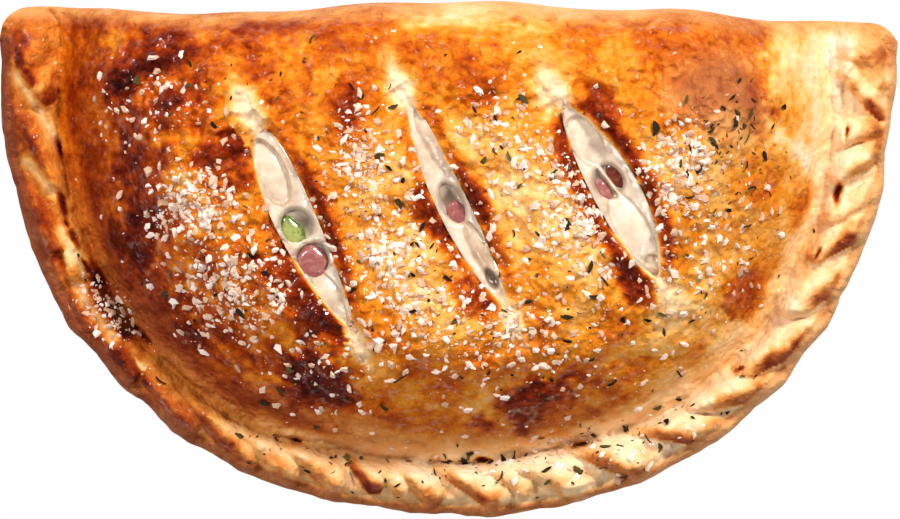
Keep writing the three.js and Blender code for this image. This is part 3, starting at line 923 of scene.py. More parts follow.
GAPS = Gap.table(
    (-104.3, 29.8, 2.4, 1.0, -70), (-103.2, 13.6, 4.4, 1.1, -75), (-100.2, 5.4, 4.6, 1.1, -66),
    (-97.0, -2.0, 3.6, 0.8, -55), (-82.4, -20.0, 3.6, 0.9, -48), (-59.5, -42.0, 3.4, 0.7, -38),
    (-40.6, -48.6, 2.4, 0.7, -25), (104.0, 17.6, 3.4, 1.3, 78), (98.4, 1.6, 2.4, 0.8, 60),
    (106.2, 33.6, 2.2, 0.7, 80), (77.6, -29.2, 2.6, 0.6, 30), (35.0, -49.6, 3.0, 0.7, 15),
    (9.0, -53.6, 2.4, 0.7, 0),
)

# Long grooves that the fingers left across the rim: start, end and depth.
GROOVES = (
    ((-116.0, 49.5), (-110.0, 40.2), 1.9), ((-110.0, 40.2), (-104.4, 30.2), 1.9),
    ((-113.4, 26.0), (-106.0, 18.0), 1.6), ((-104.0, 8.0), (-97.6, -2.6), 1.7),
    ((-100.0, -7.0), (-90.0, -21.0), 1.2), ((107.0, 50.0), (104.4, 36.6), 1.8),
    ((110.5, 46.0), (106.5, 36.0), 1.2),
)


@dataclass(frozen=True)
class CrustForm:
    """Height of the crust's upper side: the filled dome, the pleated rim and the cuts."""

    outline: Outline
    rim: PleatedRim
    cuts: tuple[Cut, ...]
    dome_height: float = 45.0
    fold_round: float = 30.0
    fold_shoulder: float = 0.28
    rim_round: float = 46.0
    swells: tuple[tuple[float, float, float, float], ...] = (
        (-72, 12, 1.6, 20), (-70, 46, -1.6, 12), (-24, 30, 1.4, 14), (22, 22, 1.5, 14),
        (76, 22, 1.8, 20), (10, -30, 1.2, 16), (88, -14, -1.4, 14))
    blister_gain: float = 1.7
    gap_depth: float = 2.6
    groove_half: float = 1.0
    lowest: float = 1.0

    def spots(self, x: Array, y: Array) -> Spots:
        """Returns the spots at the given places."""
        return Spots.on(self.outline, x, y)

    def inside(self, spots: Spots) -> Array:
        """Returns how far inside the crease each spot is."""
        return spots.distance - self.rim.width(spots.along)

    def rise(self, spots: Spots) -> Array:
        """Returns how far the dome has risen: 0 at the crease, 1 in the middle."""
        return np.sin(np.pi / 2 * np.clip(self.inside(spots) / self.rim_round, 0, 1)) ** 0.8

    def plain_dome(self, spots: Spots) -> Array:
        """Returns the dome without its lumps and cuts."""
        fold = mix(self.fold_shoulder, 1, arch(spots.fold_gap, self.fold_round, 2.1))
        return self.dome_height * self.rise(spots) * fold

    def dome(self, spots: Spots) -> Array:
        """Returns the dome with its lumps, and with the dough sagging along the cuts."""
        relief = sum(cut.relief(spots.x, spots.y) for cut in self.cuts)
        for x, y, lift, radius in self.swells:
            relief = relief + lift * bell(np.hypot(spots.x - x, spots.y - y), radius)
        return self.plain_dome(spots) + relief * self.rise(spots) * step(0, 8, spots.fold_gap)

    def top(self, spots: Spots) -> Array:
        """Returns the height of the smooth crust, as in the solids."""
        fold_side = mix(self.rim.edge_share, 1, arch(spots.fold_gap, self.rim.edge_round + 4, 2))
        return soft_max(self.dome(spots), self.rim.surface(spots) * fold_side, 2.0)

    def skin(self, spots: Spots) -> Array:
        """Shapes the puffs, wrinkles and blisters of the baked skin.

        Args:
            spots: places on the crust.

        Returns:
            How far the skin stands above the smooth crust.
        """
        x, y, z = spots.x, spots.y, self.plain_dome(spots)
        inside = self.inside(spots)
        on_dome = step(0, 10, inside)
        edge = step(0, 3, spots.distance) * step(0, 3, spots.fold_gap)
        near_cut = np.clip(sum(bell(cut.edge_gap(x, y), 14) for cut in self.cuts), 0, 1)
        upper = step(-30, 25, y)
        calm = step(2, 22, inside) * mix(0.55, 1.0, step(-40, -5, y))
        calm = mix(calm, 1.0, 0.9 * step(-50, -72, x) * step(-28, -5, y) * on_dome)
        lumps = noise(x, y, 17, 3, z) + 1.1 * noise(x, y, 7.5, 4, z)
        crumple = (1 - np.abs(rough_noise(x, y, 4.6, 5, z))) ** 2 - 0.55
        puffs = bubbles(x, y, 3.1, 6) * step(-0.3, 0.5, noise(x, y, 15, 7, z))
        pimples = bubbles(x, y, 1.7, 8) * step(-0.4, 0.5, noise(x, y, 12, 10, z))
        skin = on_dome * (lumps + calm * ((1.2 + 0.6 * near_cut) * crumple - 0.7))
        skin += calm * (0.4 + 0.6 * upper) * (1.2 * puffs + 0.8 * pimples - 0.4)
        grain = (0.25 + 0.35 * calm) * rough_noise(x, y, 2.8, 9, z)
        skin += grain + 0.22 * calm * noise(x, y, 1.5, 12, z)
        # The dome's foot folds over the crease, more in some places than in others.
        crease = inside + 0.9 * noise(x, y, 9, 15) + 0.4 * noise(x, y, 3.2, 16)
        folded = step(-0.7, 0.5, noise(x, y, 13, 17))
        lap = 0.9 * bell(crease - 3.4, 2.2) - (0.5 + 1.3 * folded) * bell(crease + 0.2, 0.8)
        skin += lap / edge.clip(0.3, 1)
        skin += on_dome * step(-15, -60, x) * 0.55 * rough_noise(x, y, 3.8, 11, z)
        skin += (1 - on_dome) * (1.2 * noise(x, y, 5, 14, z) + 0.9 * crumple)
        for blister in BLISTERS:
            shape = step(1.15, 0.4, blister.out(x, y) + 0.22 * noise(x, y, 3.5, 21))
            skin += self.blister_gain * blister.rise * shape
        for gap in GAPS:
            skin -= self.gap_depth * gap.depth(x, y)
        for start, end, depth in GROOVES:
            skin -= depth * bell(self.off_line(spots, start, end), self.groove_half)
        return skin * edge

    def off_line(self, spots: Spots, start: Pair, end: Pair) -> Array:
        """Measures from a groove.

        Args:
            spots: places on the crust.
            start, end: the ends of the groove's line.

        Returns:
            The distance to it, a little uneven.
        """
        dx, dy = end[0] - start[0], end[1] - start[1]
        t = ((spots.x - start[0]) * dx + (spots.y - start[1]) * dy) / (dx * dx + dy * dy)
        t = np.clip(t, 0, 1)
        wobble = 0.6 * noise(spots.x, spots.y, 5, 25)
        return np.hypot(spots.x - start[0] - t * dx + wobble, spots.y - start[1] - t * dy)

    def surface(self, spots: Spots) -> Array:
        """Shapes the baked crust, with its skin and the rolled edges of the cuts.

        Args:
            spots: places on the crust.

        Returns:
            Its height.
        """
        height = self.top(spots) + self.skin(spots)
        for cut in self.cuts:
            height -= cut.roll_down(spots.x, spots.y)
        return np.maximum(height, self.lowest)


# ------ browning

@dataclass(frozen=True)
class Patch(Oval):
    """An area that is baked darker, or with a negative amount paler, than what is round it."""

    amount: float


@dataclass(frozen=True)
class Browning:
    """How dark, how dry and how oily the crust is at each place, with painted shade and a painted
    sheen in some places.
    """

    form: CrustForm
    # Places where the oven caught the dough, and pale places that it didn't reach.
    patches: tuple[Patch, ...] = Patch.table(
        (-89, 48.6, 9, 6, -10, .2), (-78, 53, 6, 3, 20, .2), (-74, 41, 6, 4, 60, .3),
        (-75, 27, 5, 4, 40, .25), (-59.3, 27, 8, 7, -60, .22), (-84, 6, 9, 7, -40, .32),
        (-34, -34, 10, 9, 0, .38), (-45, -42, 26, 7, -24, .2), (25, -39.5, 16, 7.5, 4, .42),
        (6.6, 47, 9, 8, 0, .22), (50, -32, 14, 6, 25, .16), (-27.4, 39.5, 4, 8, 0, .24),
        (72, 45, 13, 12, 30, .03), (-91, 22, 11, 10, -60, .17), (-89.5, -12.5, 12, 4.4, -62, .6),
        (-112, 62, 8, 8, 0, .1), (113, 57, 7, 9, 0, .22), (73, -19, 9, 6, 30, -.16),
        (80, -10.5, 7, 8, -45, .24), (95, 12, 3.5, 8, -20, .18), (60, -28, 16, 8, 30, .08),
        (-55.8, 26.6, 8, 3, -70, .32), (-44, -9.5, 15, 4.6, -55, .34),
        (-33.3, -18, 6, 4.2, -45, .42), (-6.2, 11.5, 7, 3.6, -65, .36),
        (5, -11.2, 8, 3.4, -52, .34), (7.9, 15.2, 5, 3.2, -60, .34), (48.5, -6.0, 7, 3.6, -50, .36),
        (40.5, 41.5, 6, 3, -45, .28), (-53.1, 40, 5, 8, 10, -.36), (-13.2, 46, 5, 8, 15, -.34),
        (27, 44, 6, 7, 20, -.34), (-25.3, -20.5, 3, 6, 20, -.3), (16.2, -15, 3, 6, 20, -.3),
        (59, -10, 4, 6, 20, -.2), (93, 48, 9, 24, 4, -.32), (19, 67, 36, 6, 0, -.24),
        (59, -20, 15, 6, 12, -.14), (97, 62, 10, 8, 0, -.1), (96.5, 3, 4, 12, -22, .26),
        (0, -29, 15, 6, 0, .1),
    )
    # Mean baking of the dome along X, of its foot along the rim, and of the valleys of the rim.
    dome_x: Row = (-110, -80, -50, -30, -10, 20, 50, 70, 110)
    dome_bake: Row = (.66, .63, .46, .36, .31, .31, .35, .39, .44)
    foot_along: Row = (0, 50, 100, 150, 200, 250, 300, 350, 400)
    foot_bake: Row = (.6, .76, .7, .46, .3, .21, .22, .2, .2)
    crease_bake: Row = (.46, .42, .5, .16, .09, .08, .13, .08, .06)
    valley_bake: Row = (.5, .62, .58, .34, .22, .16, .16, .16, .22)
    sheet_bake: Row = (.72, .68, .66, .6, .56, .48, .4, .38, .4)
    cavity_bake: float = 0.06
    burnt: float = 0.84
    # Where a pinkish sheen on the blisters at the upper right is painted, as dull skin.
    painted_sheen: Oval = Oval((71, 44), (15, 13), 30)

    def bake(self, spots: Spots) -> Array:
        """Finds how far the upper side is baked, with painted shade in the slits of the crease and on
        the pleats' steep sides.

        Args:
            spots: places on the crust.

        Returns:
            0 for pale dough and 1 for burnt.
        """
        x, y, z = spots.x, spots.y, self.form.plain_dome(spots)
        blotch = rough_noise(x, y, 11.0, 31, z, 4)
        fleck = rough_noise(x, y, 3.4, 35, z)
        inside = self.form.inside(spots)
        left = step(-10, -60, x)
        dome = np.interp(x, self.dome_x, self.dome_bake)
        dome += 0.15 * step(5, -35, y) * step(85, 50, x)
        dome += 0.17 * step(20, 50, y) * step(-90, -50, x)
        dome += (0.13 + 0.07 * left) * blotch + (0.05 + 0.09 * left) * fleck
        patches = np.zeros_like(x)
        ragged = 0.32 * noise(x, y, 4.5, 41, z) + 0.24 * noise(x, y, 1.9, 43, z)
        for patch in self.patches:
            shape = patch.amount * step(1.35, 0.45, patch.out(x, y) + ragged)
            stronger = np.abs(shape) > np.abs(patches)
            patches = np.where(stronger, mix(patches, shape, 0.85), patches)
        burn = sum(cut.burn(x, y, ragged) for cut in self.form.cuts)
        dome += patches + 0.54 * burn * np.clip(1.25 - patches - dome, 0.2, 1)
        foot = self.along_rim(spots, self.foot_bake) + 0.05 * blotch + 0.6 * patches
        # The dome's foot is baked in its own way, in a band that is narrow on the right.
        right, high = step(270, 340, spots.along), step(0, 25, y)
        near = mix(1.0, mix(-0.5, 2.5, high), right)
        far = mix(15.0, mix(3.5, 7.5, high), right)
        bake = mix(foot, dome, step(near, far, inside + mix(2.5, 1.2, right) * blotch))
        crease = self.along_rim(spots, self.crease_bake)
        bake = mix(bake, crease + 0.08 + 0.08 * fleck, 0.8 * step(5.0, 1.5, inside + 1.4 * blotch))
        bake = mix(bake, self.rim_bake(spots, fleck) + 0.9 * patches, step(1.0, -1.5, inside))
        bake = mix(bake, 0.40 + 0.10 * blotch, 0.8 * step(5.5, 0.5, spots.fold_gap))
        for cut in self.form.cuts:
            a, q = cut.place(x, y)
            fade = step(-0.22, 0.0, a) * step(1.22, 1.0, a)
            out = np.abs(q) - cut.opening(a) + 0.25 * fleck
            bake = mix(bake, np.minimum(bake, 0.42), step(1.1, 0.6, out) * fade)
            bake = mix(bake, 0.12, step(0.45, 0.1, out) * fade)
        bake = mix(bake, 0.08, self.scar(spots, fleck))
        for start, end, _ in GROOVES:
            groove = bell(self.form.off_line(spots, start, end), 1.7)
            bake = mix(bake, 0.16, 0.85 * groove)
        # Painted shade: the slits in the crease are coloured almost black.
        for gap in GAPS:
            bake = mix(bake, 0.88, gap.depth(x, y) ** 2)
        # Only the hottest places go from mahogany to black.
        burnt = self.burnt
        scorched = np.clip(bake, 0, burnt) + 0.55 * np.clip(bake - burnt, 0, 0.3)
        return np.clip(scorched, 0, 1)

    def along_rim(self, spots: Spots, values: Row) -> Array:
        """Returns the baking that a table along the rim gives at each spot."""
        return np.interp(spots.along, self.foot_along, values)

    def scar(self, spots: Spots, fleck: Array) -> Array:
        """Finds where the skin was stretched pale past the ends of the cuts.

        Args:
            spots: places on the crust.
            fleck: noise that makes the border uneven.

        Returns:
            Values from 0 to 1.
        """
        scar = np.zeros_like(spots.x)
        for cut in self.form.cuts:
            a, q = cut.place(spots.x, spots.y)
            ahead = bell(a + 0.08, 0.16) * step(0.06, -0.02, a)
            behind = bell(a - 1.08, 0.12) * step(0.94, 1.02, a)
            scar = np.maximum(scar, bell(q, 2.2 + fleck) * np.maximum(ahead, 0.75 * behind))
        return scar

    def rim_bake(self, spots: Spots, fleck: Array) -> Array:
        """Bakes the rim: pleats brown on one side, which faces away from the light and so is partly
        painted shade; valleys pale, the edge tan.

        Args:
            spots: places on the crust.
            fleck: noise that mottles it.

        Returns:
            How far each place is baked, with painted shade on the pleats' steep sides.
        """
        rim = self.form.rim
        pleats = rim.pleating(spots.x, spots.y)
        share = np.clip(1 - spots.distance / rim.width(spots.along), 0, 1)
        valley = mix(self.along_rim(spots, self.crease_bake),
                     self.along_rim(spots, self.valley_bake),
                     step(0.25, 0.65, share + 0.1 * fleck))
        # The brown on each pleat's steep side, away from the light, is partly browning and partly
        # painted shade.
        brown_and_shaded = step(-0.35, 0.35, pleats.side + 0.35 * (pleats.share - 0.5) + 0.25 * fleck)
        brown_and_shaded *= step(0.1, 0.9, pleats.rise) * mix(0.35, 1.0, step(0.0, 0.35, pleats.share))
        mottle = rough_noise(spots.x, spots.y, 5.0, 45)
        bake = mix(valley, pleats.crest, brown_and_shaded) + 0.05 * fleck
        raised = step(0.3, 0.75, share) * step(0.3, 2.0, pleats.rise)
        bake += raised * (0.07 + 0.30 * np.clip(mottle, -0.25, 1))
        sheet = self.along_rim(spots, self.sheet_bake) + 0.06 * fleck
        return mix(bake, sheet, step(3.0, 1.8, spots.distance))

    def dryness_and_sheen(self, spots: Spots) -> Array:
        """Finds where no egg wash reached, and where a sheen is painted as dull skin.

        Args:
            spots: places on the crust.

        Returns:
            How dull and pinkish the skin is, 0 to 1, painted sheen included.
        """
        inside = self.form.inside(spots)
        blotch = noise(spots.x, spots.y, 11, 51)
        # The dull purplish skin on the dome's foot, strongest at the left and the front, is partly
        # skin the egg wash missed and partly painted sheen on the side away from the light.
        slope = step(13, 4, inside + 3 * blotch) * step(-1, 1, inside)
        slope *= mix(1.0, 0.2, step(190, 300, spots.along)) * step(20, 90, spots.along)
        sheet = step(3.0, 1.8, spots.distance)
        fold = 0.7 * step(7, 2, spots.fold_gap)
        scar = self.scar(spots, np.zeros_like(spots.x))
        rim = step(0.5, -1.0, inside) * mix(0.25, 0.6, step(80, 160, spots.along))
        # Painted sheen: the pinkish shine on the blisters at the upper right is coloured as dull skin.
        painted_sheen = self.painted_sheen.out(spots.x, spots.y) + 0.3 * blotch
        painted_sheen = 0.85 * step(1.25, 0.3, painted_sheen)
        return np.clip(np.maximum.reduce([0.6 * slope, sheet, fold, scar, rim, painted_sheen]), 0, 1)

    def oil(self, spots: Spots) -> Array:
        """Returns where oil has pooled in the crease."""
        inside = self.form.inside(spots)
        pools = step(-0.1, 0.5, noise(spots.x, spots.y, 9, 61)) * step(60, 110, spots.along)
        return 0.6 * bell(inside + 0.6, 2.0) * pools * step(330, 280, spots.along)


# ------ finishes

@dataclass(frozen=True)
class Finish:
    """What a piece is made of."""

    name: str

    def shade(self, add: Adder, place: Socket) -> Socket:
        """Adds the finish's nodes.

        Args:
            add: adds a node to the material.
            place: where on the piece the shading happens.

        Returns:
            The socket of its shader.
        """
        raise NotImplementedError

    def material(self) -> Material:
        """Makes the finish as a material.

        Returns:
            The material, whose patterns read Object coordinates.
        """
        material = bpy.data.materials.new(self.name)
        material.use_nodes = True
        material.node_tree.nodes.clear()
        add = partial(add_node, material.node_tree)
        place = add("ShaderNodeTexCoord").outputs["Object"]
        add("ShaderNodeOutputMaterial", {"Surface": self.shade(add, place)})
        return material


@dataclass(frozen=True)
class BakedDough(Finish):
    """Egg-washed pizza dough from a hot oven: a satin skin, golden to mahogany, pale where shut in."""

    name: str = "egg_washed_dough"
    glazed: Stops = (
        (0.00, "#FBE6CA"), (0.12, "#F9D5A4"), (0.24, "#F5BE74"), (0.34, "#ECA042"),
        (0.44, "#E0841C"), (0.54, "#CC6610"), (0.64, "#B0480A"), (0.74, "#8E2E06"),
        (0.84, "#6A1C06"), (0.93, "#4C1208"), (1.00, "#260A08"))
    # Dull colours of skin that the egg wash missed, also used for painted sheen.
    dry: Stops = (
        (0.00, "#F1DEC3"), (0.18, "#EECBA0"), (0.36, "#DFA66E"), (0.52, "#BC7442"),
        (0.68, "#8C4529"), (0.84, "#5A2018"), (1.00, "#280E0E"))
    oil: str = "#B8762A"
    fleck_mm: float = 2.4
    blister_mm: float = 1.9
    crinkle_mm: float = 2.0
    pore_mm: float = 0.6
    glaze_roughness: float = 0.5
    dry_roughness: float = 0.7
    specular: float = 0.03
    coat: float = 0.9
    coat_roughness: float = 0.06
    bead_mm: float = 3.0

    def shade(self, add: Adder, place: Socket) -> Socket:
        """Returns the dough's shader."""
        bake, dry, oil = (
            add("ShaderNodeAttribute", {"attribute_name": name}).outputs["Fac"]
            for name in ("bake", "dry", "oil"))
        fleck, crinkle, pore, bead = (
            add("ShaderNodeTexNoise", {
                "Vector": place, "Scale": per_metre(size), "Detail": detail,
                "Roughness": roughness, "Distortion": distortion})
            for size, detail, roughness, distortion in (
                (self.fleck_mm, 4.0, 0.6, 0.0), (self.crinkle_mm, 2.0, 0.5, 0.5),
                (self.pore_mm, 3.0, 0.65, 0.0), (self.bead_mm, 4.0, 0.6, 0.0)))
        blister = add("ShaderNodeTexVoronoi", {"feature": "SMOOTH_F1",
            "Vector": place, "Scale": per_metre(self.blister_mm), "Smoothness": 0.6})
        # Flecks shift the baking up and down, more where the crust is brown.
        shift = add("ShaderNodeMapRange", {
            "Value": fleck.outputs["Fac"], "From Min": 0.3, "From Max": 0.7,
            "To Min": -0.09, "To Max": 0.09})
        strength = add("ShaderNodeMapRange", {
            "Value": bake, "From Min": 0.1, "From Max": 0.5, "To Min": 0.25, "To Max": 1.0})
        glazing = add("ShaderNodeMath", {"operation": "MULTIPLY_ADD", 0: dry, 1: -0.8, 2: 1.0})
        strength = add("ShaderNodeMath", {"operation": "MULTIPLY",
            0: strength.outputs["Result"], 1: glazing.outputs[0]})
        shift = add("ShaderNodeMath", {"operation": "MULTIPLY",
            0: shift.outputs["Result"], 1: strength.outputs[0]})
        level = add("ShaderNodeMath", {"operation": "ADD", 0: bake, 1: shift.outputs[0]})
        glazed = add("ShaderNodeValToRGB", {"stops": self.glazed, "Fac": level.outputs[0]})
        dull = add("ShaderNodeValToRGB", {"stops": self.dry, "Fac": level.outputs[0]})
        color = add("ShaderNodeMix", {"data_type": "RGBA",
            0: dry, 6: glazed.outputs["Color"], 7: dull.outputs["Color"]})
        color = add("ShaderNodeMix", {"data_type": "RGBA",
            0: oil, 6: color.outputs[2], 7: linear(self.oil)})
        roughness = add("ShaderNodeMix", {0: dry, 2: self.glaze_roughness, 3: self.dry_roughness})
        wet = add("ShaderNodeMix", {0: oil, 2: roughness.outputs[0], 3: 0.12})
        uneven = add("ShaderNodeMath", {"operation": "MULTIPLY_ADD",
            0: pore.outputs["Fac"], 1: 0.3, 2: wet.outputs[0]})
        rough = add("ShaderNodeMath", {"operation": "SUBTRACT", 0: uneven.outputs[0], 1: 0.15})
        # The egg wash follows the blisters alone, and levels out what is finer.
        blistered = add("ShaderNodeBump", {
            "Height": blister.outputs["Distance"], "Distance": 0.8 * MM, "Strength": 0.6})
        wrinkling = add("ShaderNodeMapRange", {
            "Value": bake, "From Min": 0.2, "From Max": 0.5, "To Min": 0.2, "To Max": 0.95})
        normal = blistered.outputs["Normal"]
        for relief, height, strength in (
                (fleck, 0.6, 0.6), (crinkle, 1.0, wrinkling.outputs["Result"]), (pore, 0.15, 0.35)):
            normal = add("ShaderNodeBump", {
                "Height": relief.outputs["Fac"], "Distance": height * MM,
                "Strength": strength, "Normal": normal}).outputs["Normal"]
        # The egg wash has gathered in beads, and is thin between them.
        beaded = add("ShaderNodeMapRange", {
            "Value": bead.outputs["Fac"], "From Min": 0.51, "From Max": 0.63,
            "To Min": 0.06, "To Max": self.coat})
        gloss = add("ShaderNodeMath", {"operation": "MULTIPLY",
            0: beaded.outputs["Result"], 1: glazing.outputs[0]})
        shader = add("ShaderNodeBsdfPrincipled", {
            "Base Color": color.outputs[2], "Roughness": rough.outputs[0],
            "Normal": normal, "IOR": 1.4, "Specular IOR Level": self.specular,
            "Coat Weight": gloss.outputs[0], "Coat Roughness": self.coat_roughness,
            "Coat Normal": blistered.outputs["Normal"]})
        return shader.outputs["BSDF"]


@dataclass(frozen=True)
class MeltedCheese(Finish):
    """Melted mozzarella: stretched into a smooth wet skin, milky and a little see-through."""

    name: str = "melted_mozzarella"
    clear: str = "#ECDAC4"
    # Colour of the milky film, also used for painted shade.
    film: str = "#BA9A7C"
    # Colour of the painted shade in the cheese's holes.
    deep: str = "#66503F"
    curd_mm: float = 3.5

    def shade(self, add: Adder, place: Socket) -> Socket:
        """Returns the cheese's shader."""
        film, hollow = (
            add("ShaderNodeAttribute", {"attribute_name": name}).outputs["Fac"]
            for name in ("film", "hollow"))
        curd = add("ShaderNodeTexNoise", {
            "Vector": place, "Scale": per_metre(self.curd_mm), "Detail": 3.0})
        cloud = add("ShaderNodeMapRange", {
            "Value": curd.outputs["Fac"], "From Min": 0.35, "From Max": 0.75,
            "To Min": -0.2, "To Max": 0.45})
        veil = add("ShaderNodeMath", {"operation": "ADD", "use_clamp": True,
            0: film, 1: cloud.outputs["Result"]})
        color = add("ShaderNodeMix", {"data_type": "RGBA",
            0: veil.outputs[0], 6: linear(self.clear), 7: linear(self.film)})
        color = add("ShaderNodeMix", {"data_type": "RGBA",
            0: hollow, 6: color.outputs[2], 7: linear(self.deep)})
        bump = add("ShaderNodeBump", {
            "Height": curd.outputs["Fac"], "Distance": 0.6 * MM, "Strength": 0.5})
        shader = add("ShaderNodeBsdfPrincipled", {
            "Base Color": color.outputs[2], "Roughness": 0.3, "IOR": 1.4,
            "Normal": bump.outputs["Normal"], "Subsurface Weight": 0.3,
            "Subsurface Radius": (1.0, 0.8, 0.55), "Subsurface Scale": 1.2 * MM,
            "Coat Weight": 1.0, "Coat Roughness": 0.03, "Coat Normal": bump.outputs["Normal"]})
        return shader.outputs["BSDF"]


@dataclass(frozen=True)
class CuredHam(Finish):
    """Diced cooked ham: cut by knife, moist, with pale fat between pink fibres."""

    lean: str
    fat: str
    fibre_mm: float = 1.6

    def shade(self, add: Adder, place: Socket) -> Socket:
        """Returns the ham's shader."""
        fibre = add("ShaderNodeTexNoise", {
            "Vector": place, "Scale": per_metre(self.fibre_mm), "Detail": 3.0, "Distortion": 0.6})
        share = add("ShaderNodeMapRange", {
            "Value": fibre.outputs["Fac"], "From Min": 0.5, "From Max": 0.9})
        color = add("ShaderNodeMix", {"data_type": "RGBA",
            0: share.outputs["Result"], 6: linear(self.lean), 7: linear(self.fat)})
        bump = add("ShaderNodeBump", {
            "Height": fibre.outputs["Fac"], "Distance": 0.3 * MM, "Strength": 0.4})
        shader = add("ShaderNodeBsdfPrincipled", {
            "Base Color": color.outputs[2], "Roughness": 0.2, "IOR": 1.4,
            "Normal": bump.outputs["Normal"], "Subsurface Weight": 0.2,
            "Subsurface Radius": (1.0, 0.4, 0.3), "Subsurface Scale": 1.2 * MM,
            "Coat Weight": 0.4, "Coat Roughness": 0.06})
        return shader.outputs["BSDF"]


@dataclass(frozen=True)
class GreenPepper(Finish):
    """Cooked green pepper: a cut strip with a dark waxy skin and pale veined flesh."""

    name: str = "cooked_green_pepper"
    flesh: str = "#A3A962"
    skin: str = "#48661C"
    vein_mm: float = 1.8

    def shade(self, add: Adder, place: Socket) -> Socket:
        """Returns the pepper's shader."""
        skin = add("ShaderNodeAttribute", {"attribute_name": "skin"}).outputs["Fac"]
        vein = add("ShaderNodeTexNoise", {
            "Vector": place, "Scale": per_metre(self.vein_mm), "Detail": 3.0, "Distortion": 1.2})
        share = add("ShaderNodeMapRange", {
            "Value": vein.outputs["Fac"], "From Min": 0.4, "From Max": 0.65,
            "To Min": -0.3, "To Max": 0.4})
        depth = add("ShaderNodeMath", {"operation": "ADD", "use_clamp": True,
            0: skin, 1: share.outputs["Result"]})
        color = add("ShaderNodeMix", {"data_type": "RGBA",
            0: depth.outputs[0], 6: linear(self.flesh), 7: linear(self.skin)})
        shader = add("ShaderNodeBsdfPrincipled", {
            "Base Color": color.outputs[2], "Roughness": 0.18, "IOR": 1.4,
            "Subsurface Weight": 0.15, "Subsurface Radius": (0.5, 1.0, 0.3),
            "Subsurface Scale": 1.0 * MM, "Coat Weight": 0.5, "Coat Roughness": 0.05})
        return shader.outputs["BSDF"]


@dataclass(frozen=True)
class Sprinkling(Finish):
    """A dry topping, grated or rubbed: each bit has its own tone, and none of them shines."""

    tones: Stops
    grain_mm: float
    roughness: float

    def shade(self, add: Adder, place: Socket) -> Socket:
        """Returns the topping's shader."""
        tone = add("ShaderNodeAttribute", {"attribute_name": "tone"}).outputs["Fac"]
        grain = add("ShaderNodeTexNoise", {
            "Vector": place, "Scale": per_metre(self.grain_mm), "Detail": 2.0})
        level = add("ShaderNodeMath", {"operation": "MULTIPLY_ADD",
            0: grain.outputs["Fac"], 1: 0.3, 2: tone})
        level = add("ShaderNodeMath", {"operation": "SUBTRACT", 0: level.outputs[0], 1: 0.15})
        color = add("ShaderNodeValToRGB", {"stops": self.tones, "Fac": level.outputs[0]})
        bump = add("ShaderNodeBump", {
            "Height": grain.outputs["Fac"], "Distance": 0.15 * MM, "Strength": 0.5})
        shader = add("ShaderNodeBsdfPrincipled", {
            "Base Color": color.outputs["Color"], "Roughness": self.roughness,
            "Normal": bump.outputs["Normal"], "IOR": 1.45, "Specular IOR Level": 0.2})
        return shader.outputs["BSDF"]


@dataclass(frozen=True)
class LightTable(Finish):
    """Opal acrylic, flat and even, lit from below so that no shadow falls on it."""

    name: str = "lit_opal_acrylic"
    tint: str = "#FFFFFF"
    glow: float = 1.0

    def shade(self, add: Adder, place: Socket) -> Socket:
        """Returns the table's shader."""
        shader = add("ShaderNodeEmission", {"Color": linear(self.tint), "Strength": self.glow})
        return shader.outputs[0]


# ------ crust

@dataclass(frozen=True)
class Cavity:
    """The space between the two sheets of dough, which the cheese fills."""

    form: CrustForm
    dough_wall: float = 7.4
    bottom_wall: float = 4.0
    seam_inset: float = 6.5
    fold_inset: float = 9.0
    spacing: float = 3.0
    draw_steps: int = 240
    draw_step: float = 0.25
    edge_profile: tuple[Pair, ...] = ((0, 0.12), (1.5, 0.62), (5, 0.95), (8, 1.0))

    def ring(self, gap: float) -> Array:
        """Draws the cavity's outline.

        Args:
            gap: how far it is drawn in further.

        Returns:
            The closed ring.
        """
        edge = self.form.outline.ring(self.spacing)
        middle = np.column_stack([edge[:, 0] * 0.55, np.full(len(edge), 8.0)])
        way = middle - edge
        way /= np.hypot(*way.T)[:, None]
        reach = np.zeros(len(edge))
        for _ in range(self.draw_steps):
            place = edge + way * reach[:, None]
            spots = self.form.spots(place[:, 0], place[:, 1])
            clear = (spots.fold_gap > self.fold_inset + gap) & (
                self.form.inside(spots) > self.seam_inset + gap)
            reach[~clear] += self.draw_step
        return resample(edge + way * reach[:, None], self.spacing)

    def solid(self, name: str, gap: float) -> Mesh:
        """Makes the space as a solid.

        Args:
            name: the mesh's name.
            gap: how far it stays clear of the dough.

        Returns:
            The solid's mesh.
        """
        ring = self.ring(1.5 * gap)
        inner = hex_places(ring, self.spacing, self.spacing / 2)
        flat = np.vstack([ring, inner])
        faces = triangulate(flat, len(ring))
        distance, _ = ring_side(ring, flat)
        run, share = zip(*self.edge_profile)
        floor = self.bottom_wall + gap
        spots = self.form.spots(flat[:, 0], flat[:, 1])
        roof = self.form.plain_dome(spots) - self.dough_wall - 1.4 * gap
        ceiling = mix(floor + 1.5, roof, np.interp(distance, run, share))
        top = np.column_stack([flat, np.maximum(ceiling, floor + 0.6)])
        base = np.column_stack([flat, np.full(len(flat), floor)])
        count = len(flat)
        faces = np.vstack([faces, faces[:, ::-1] + count, stitch(count, 0, len(ring))])
        return new_mesh(name, np.vstack([top, base]), faces)


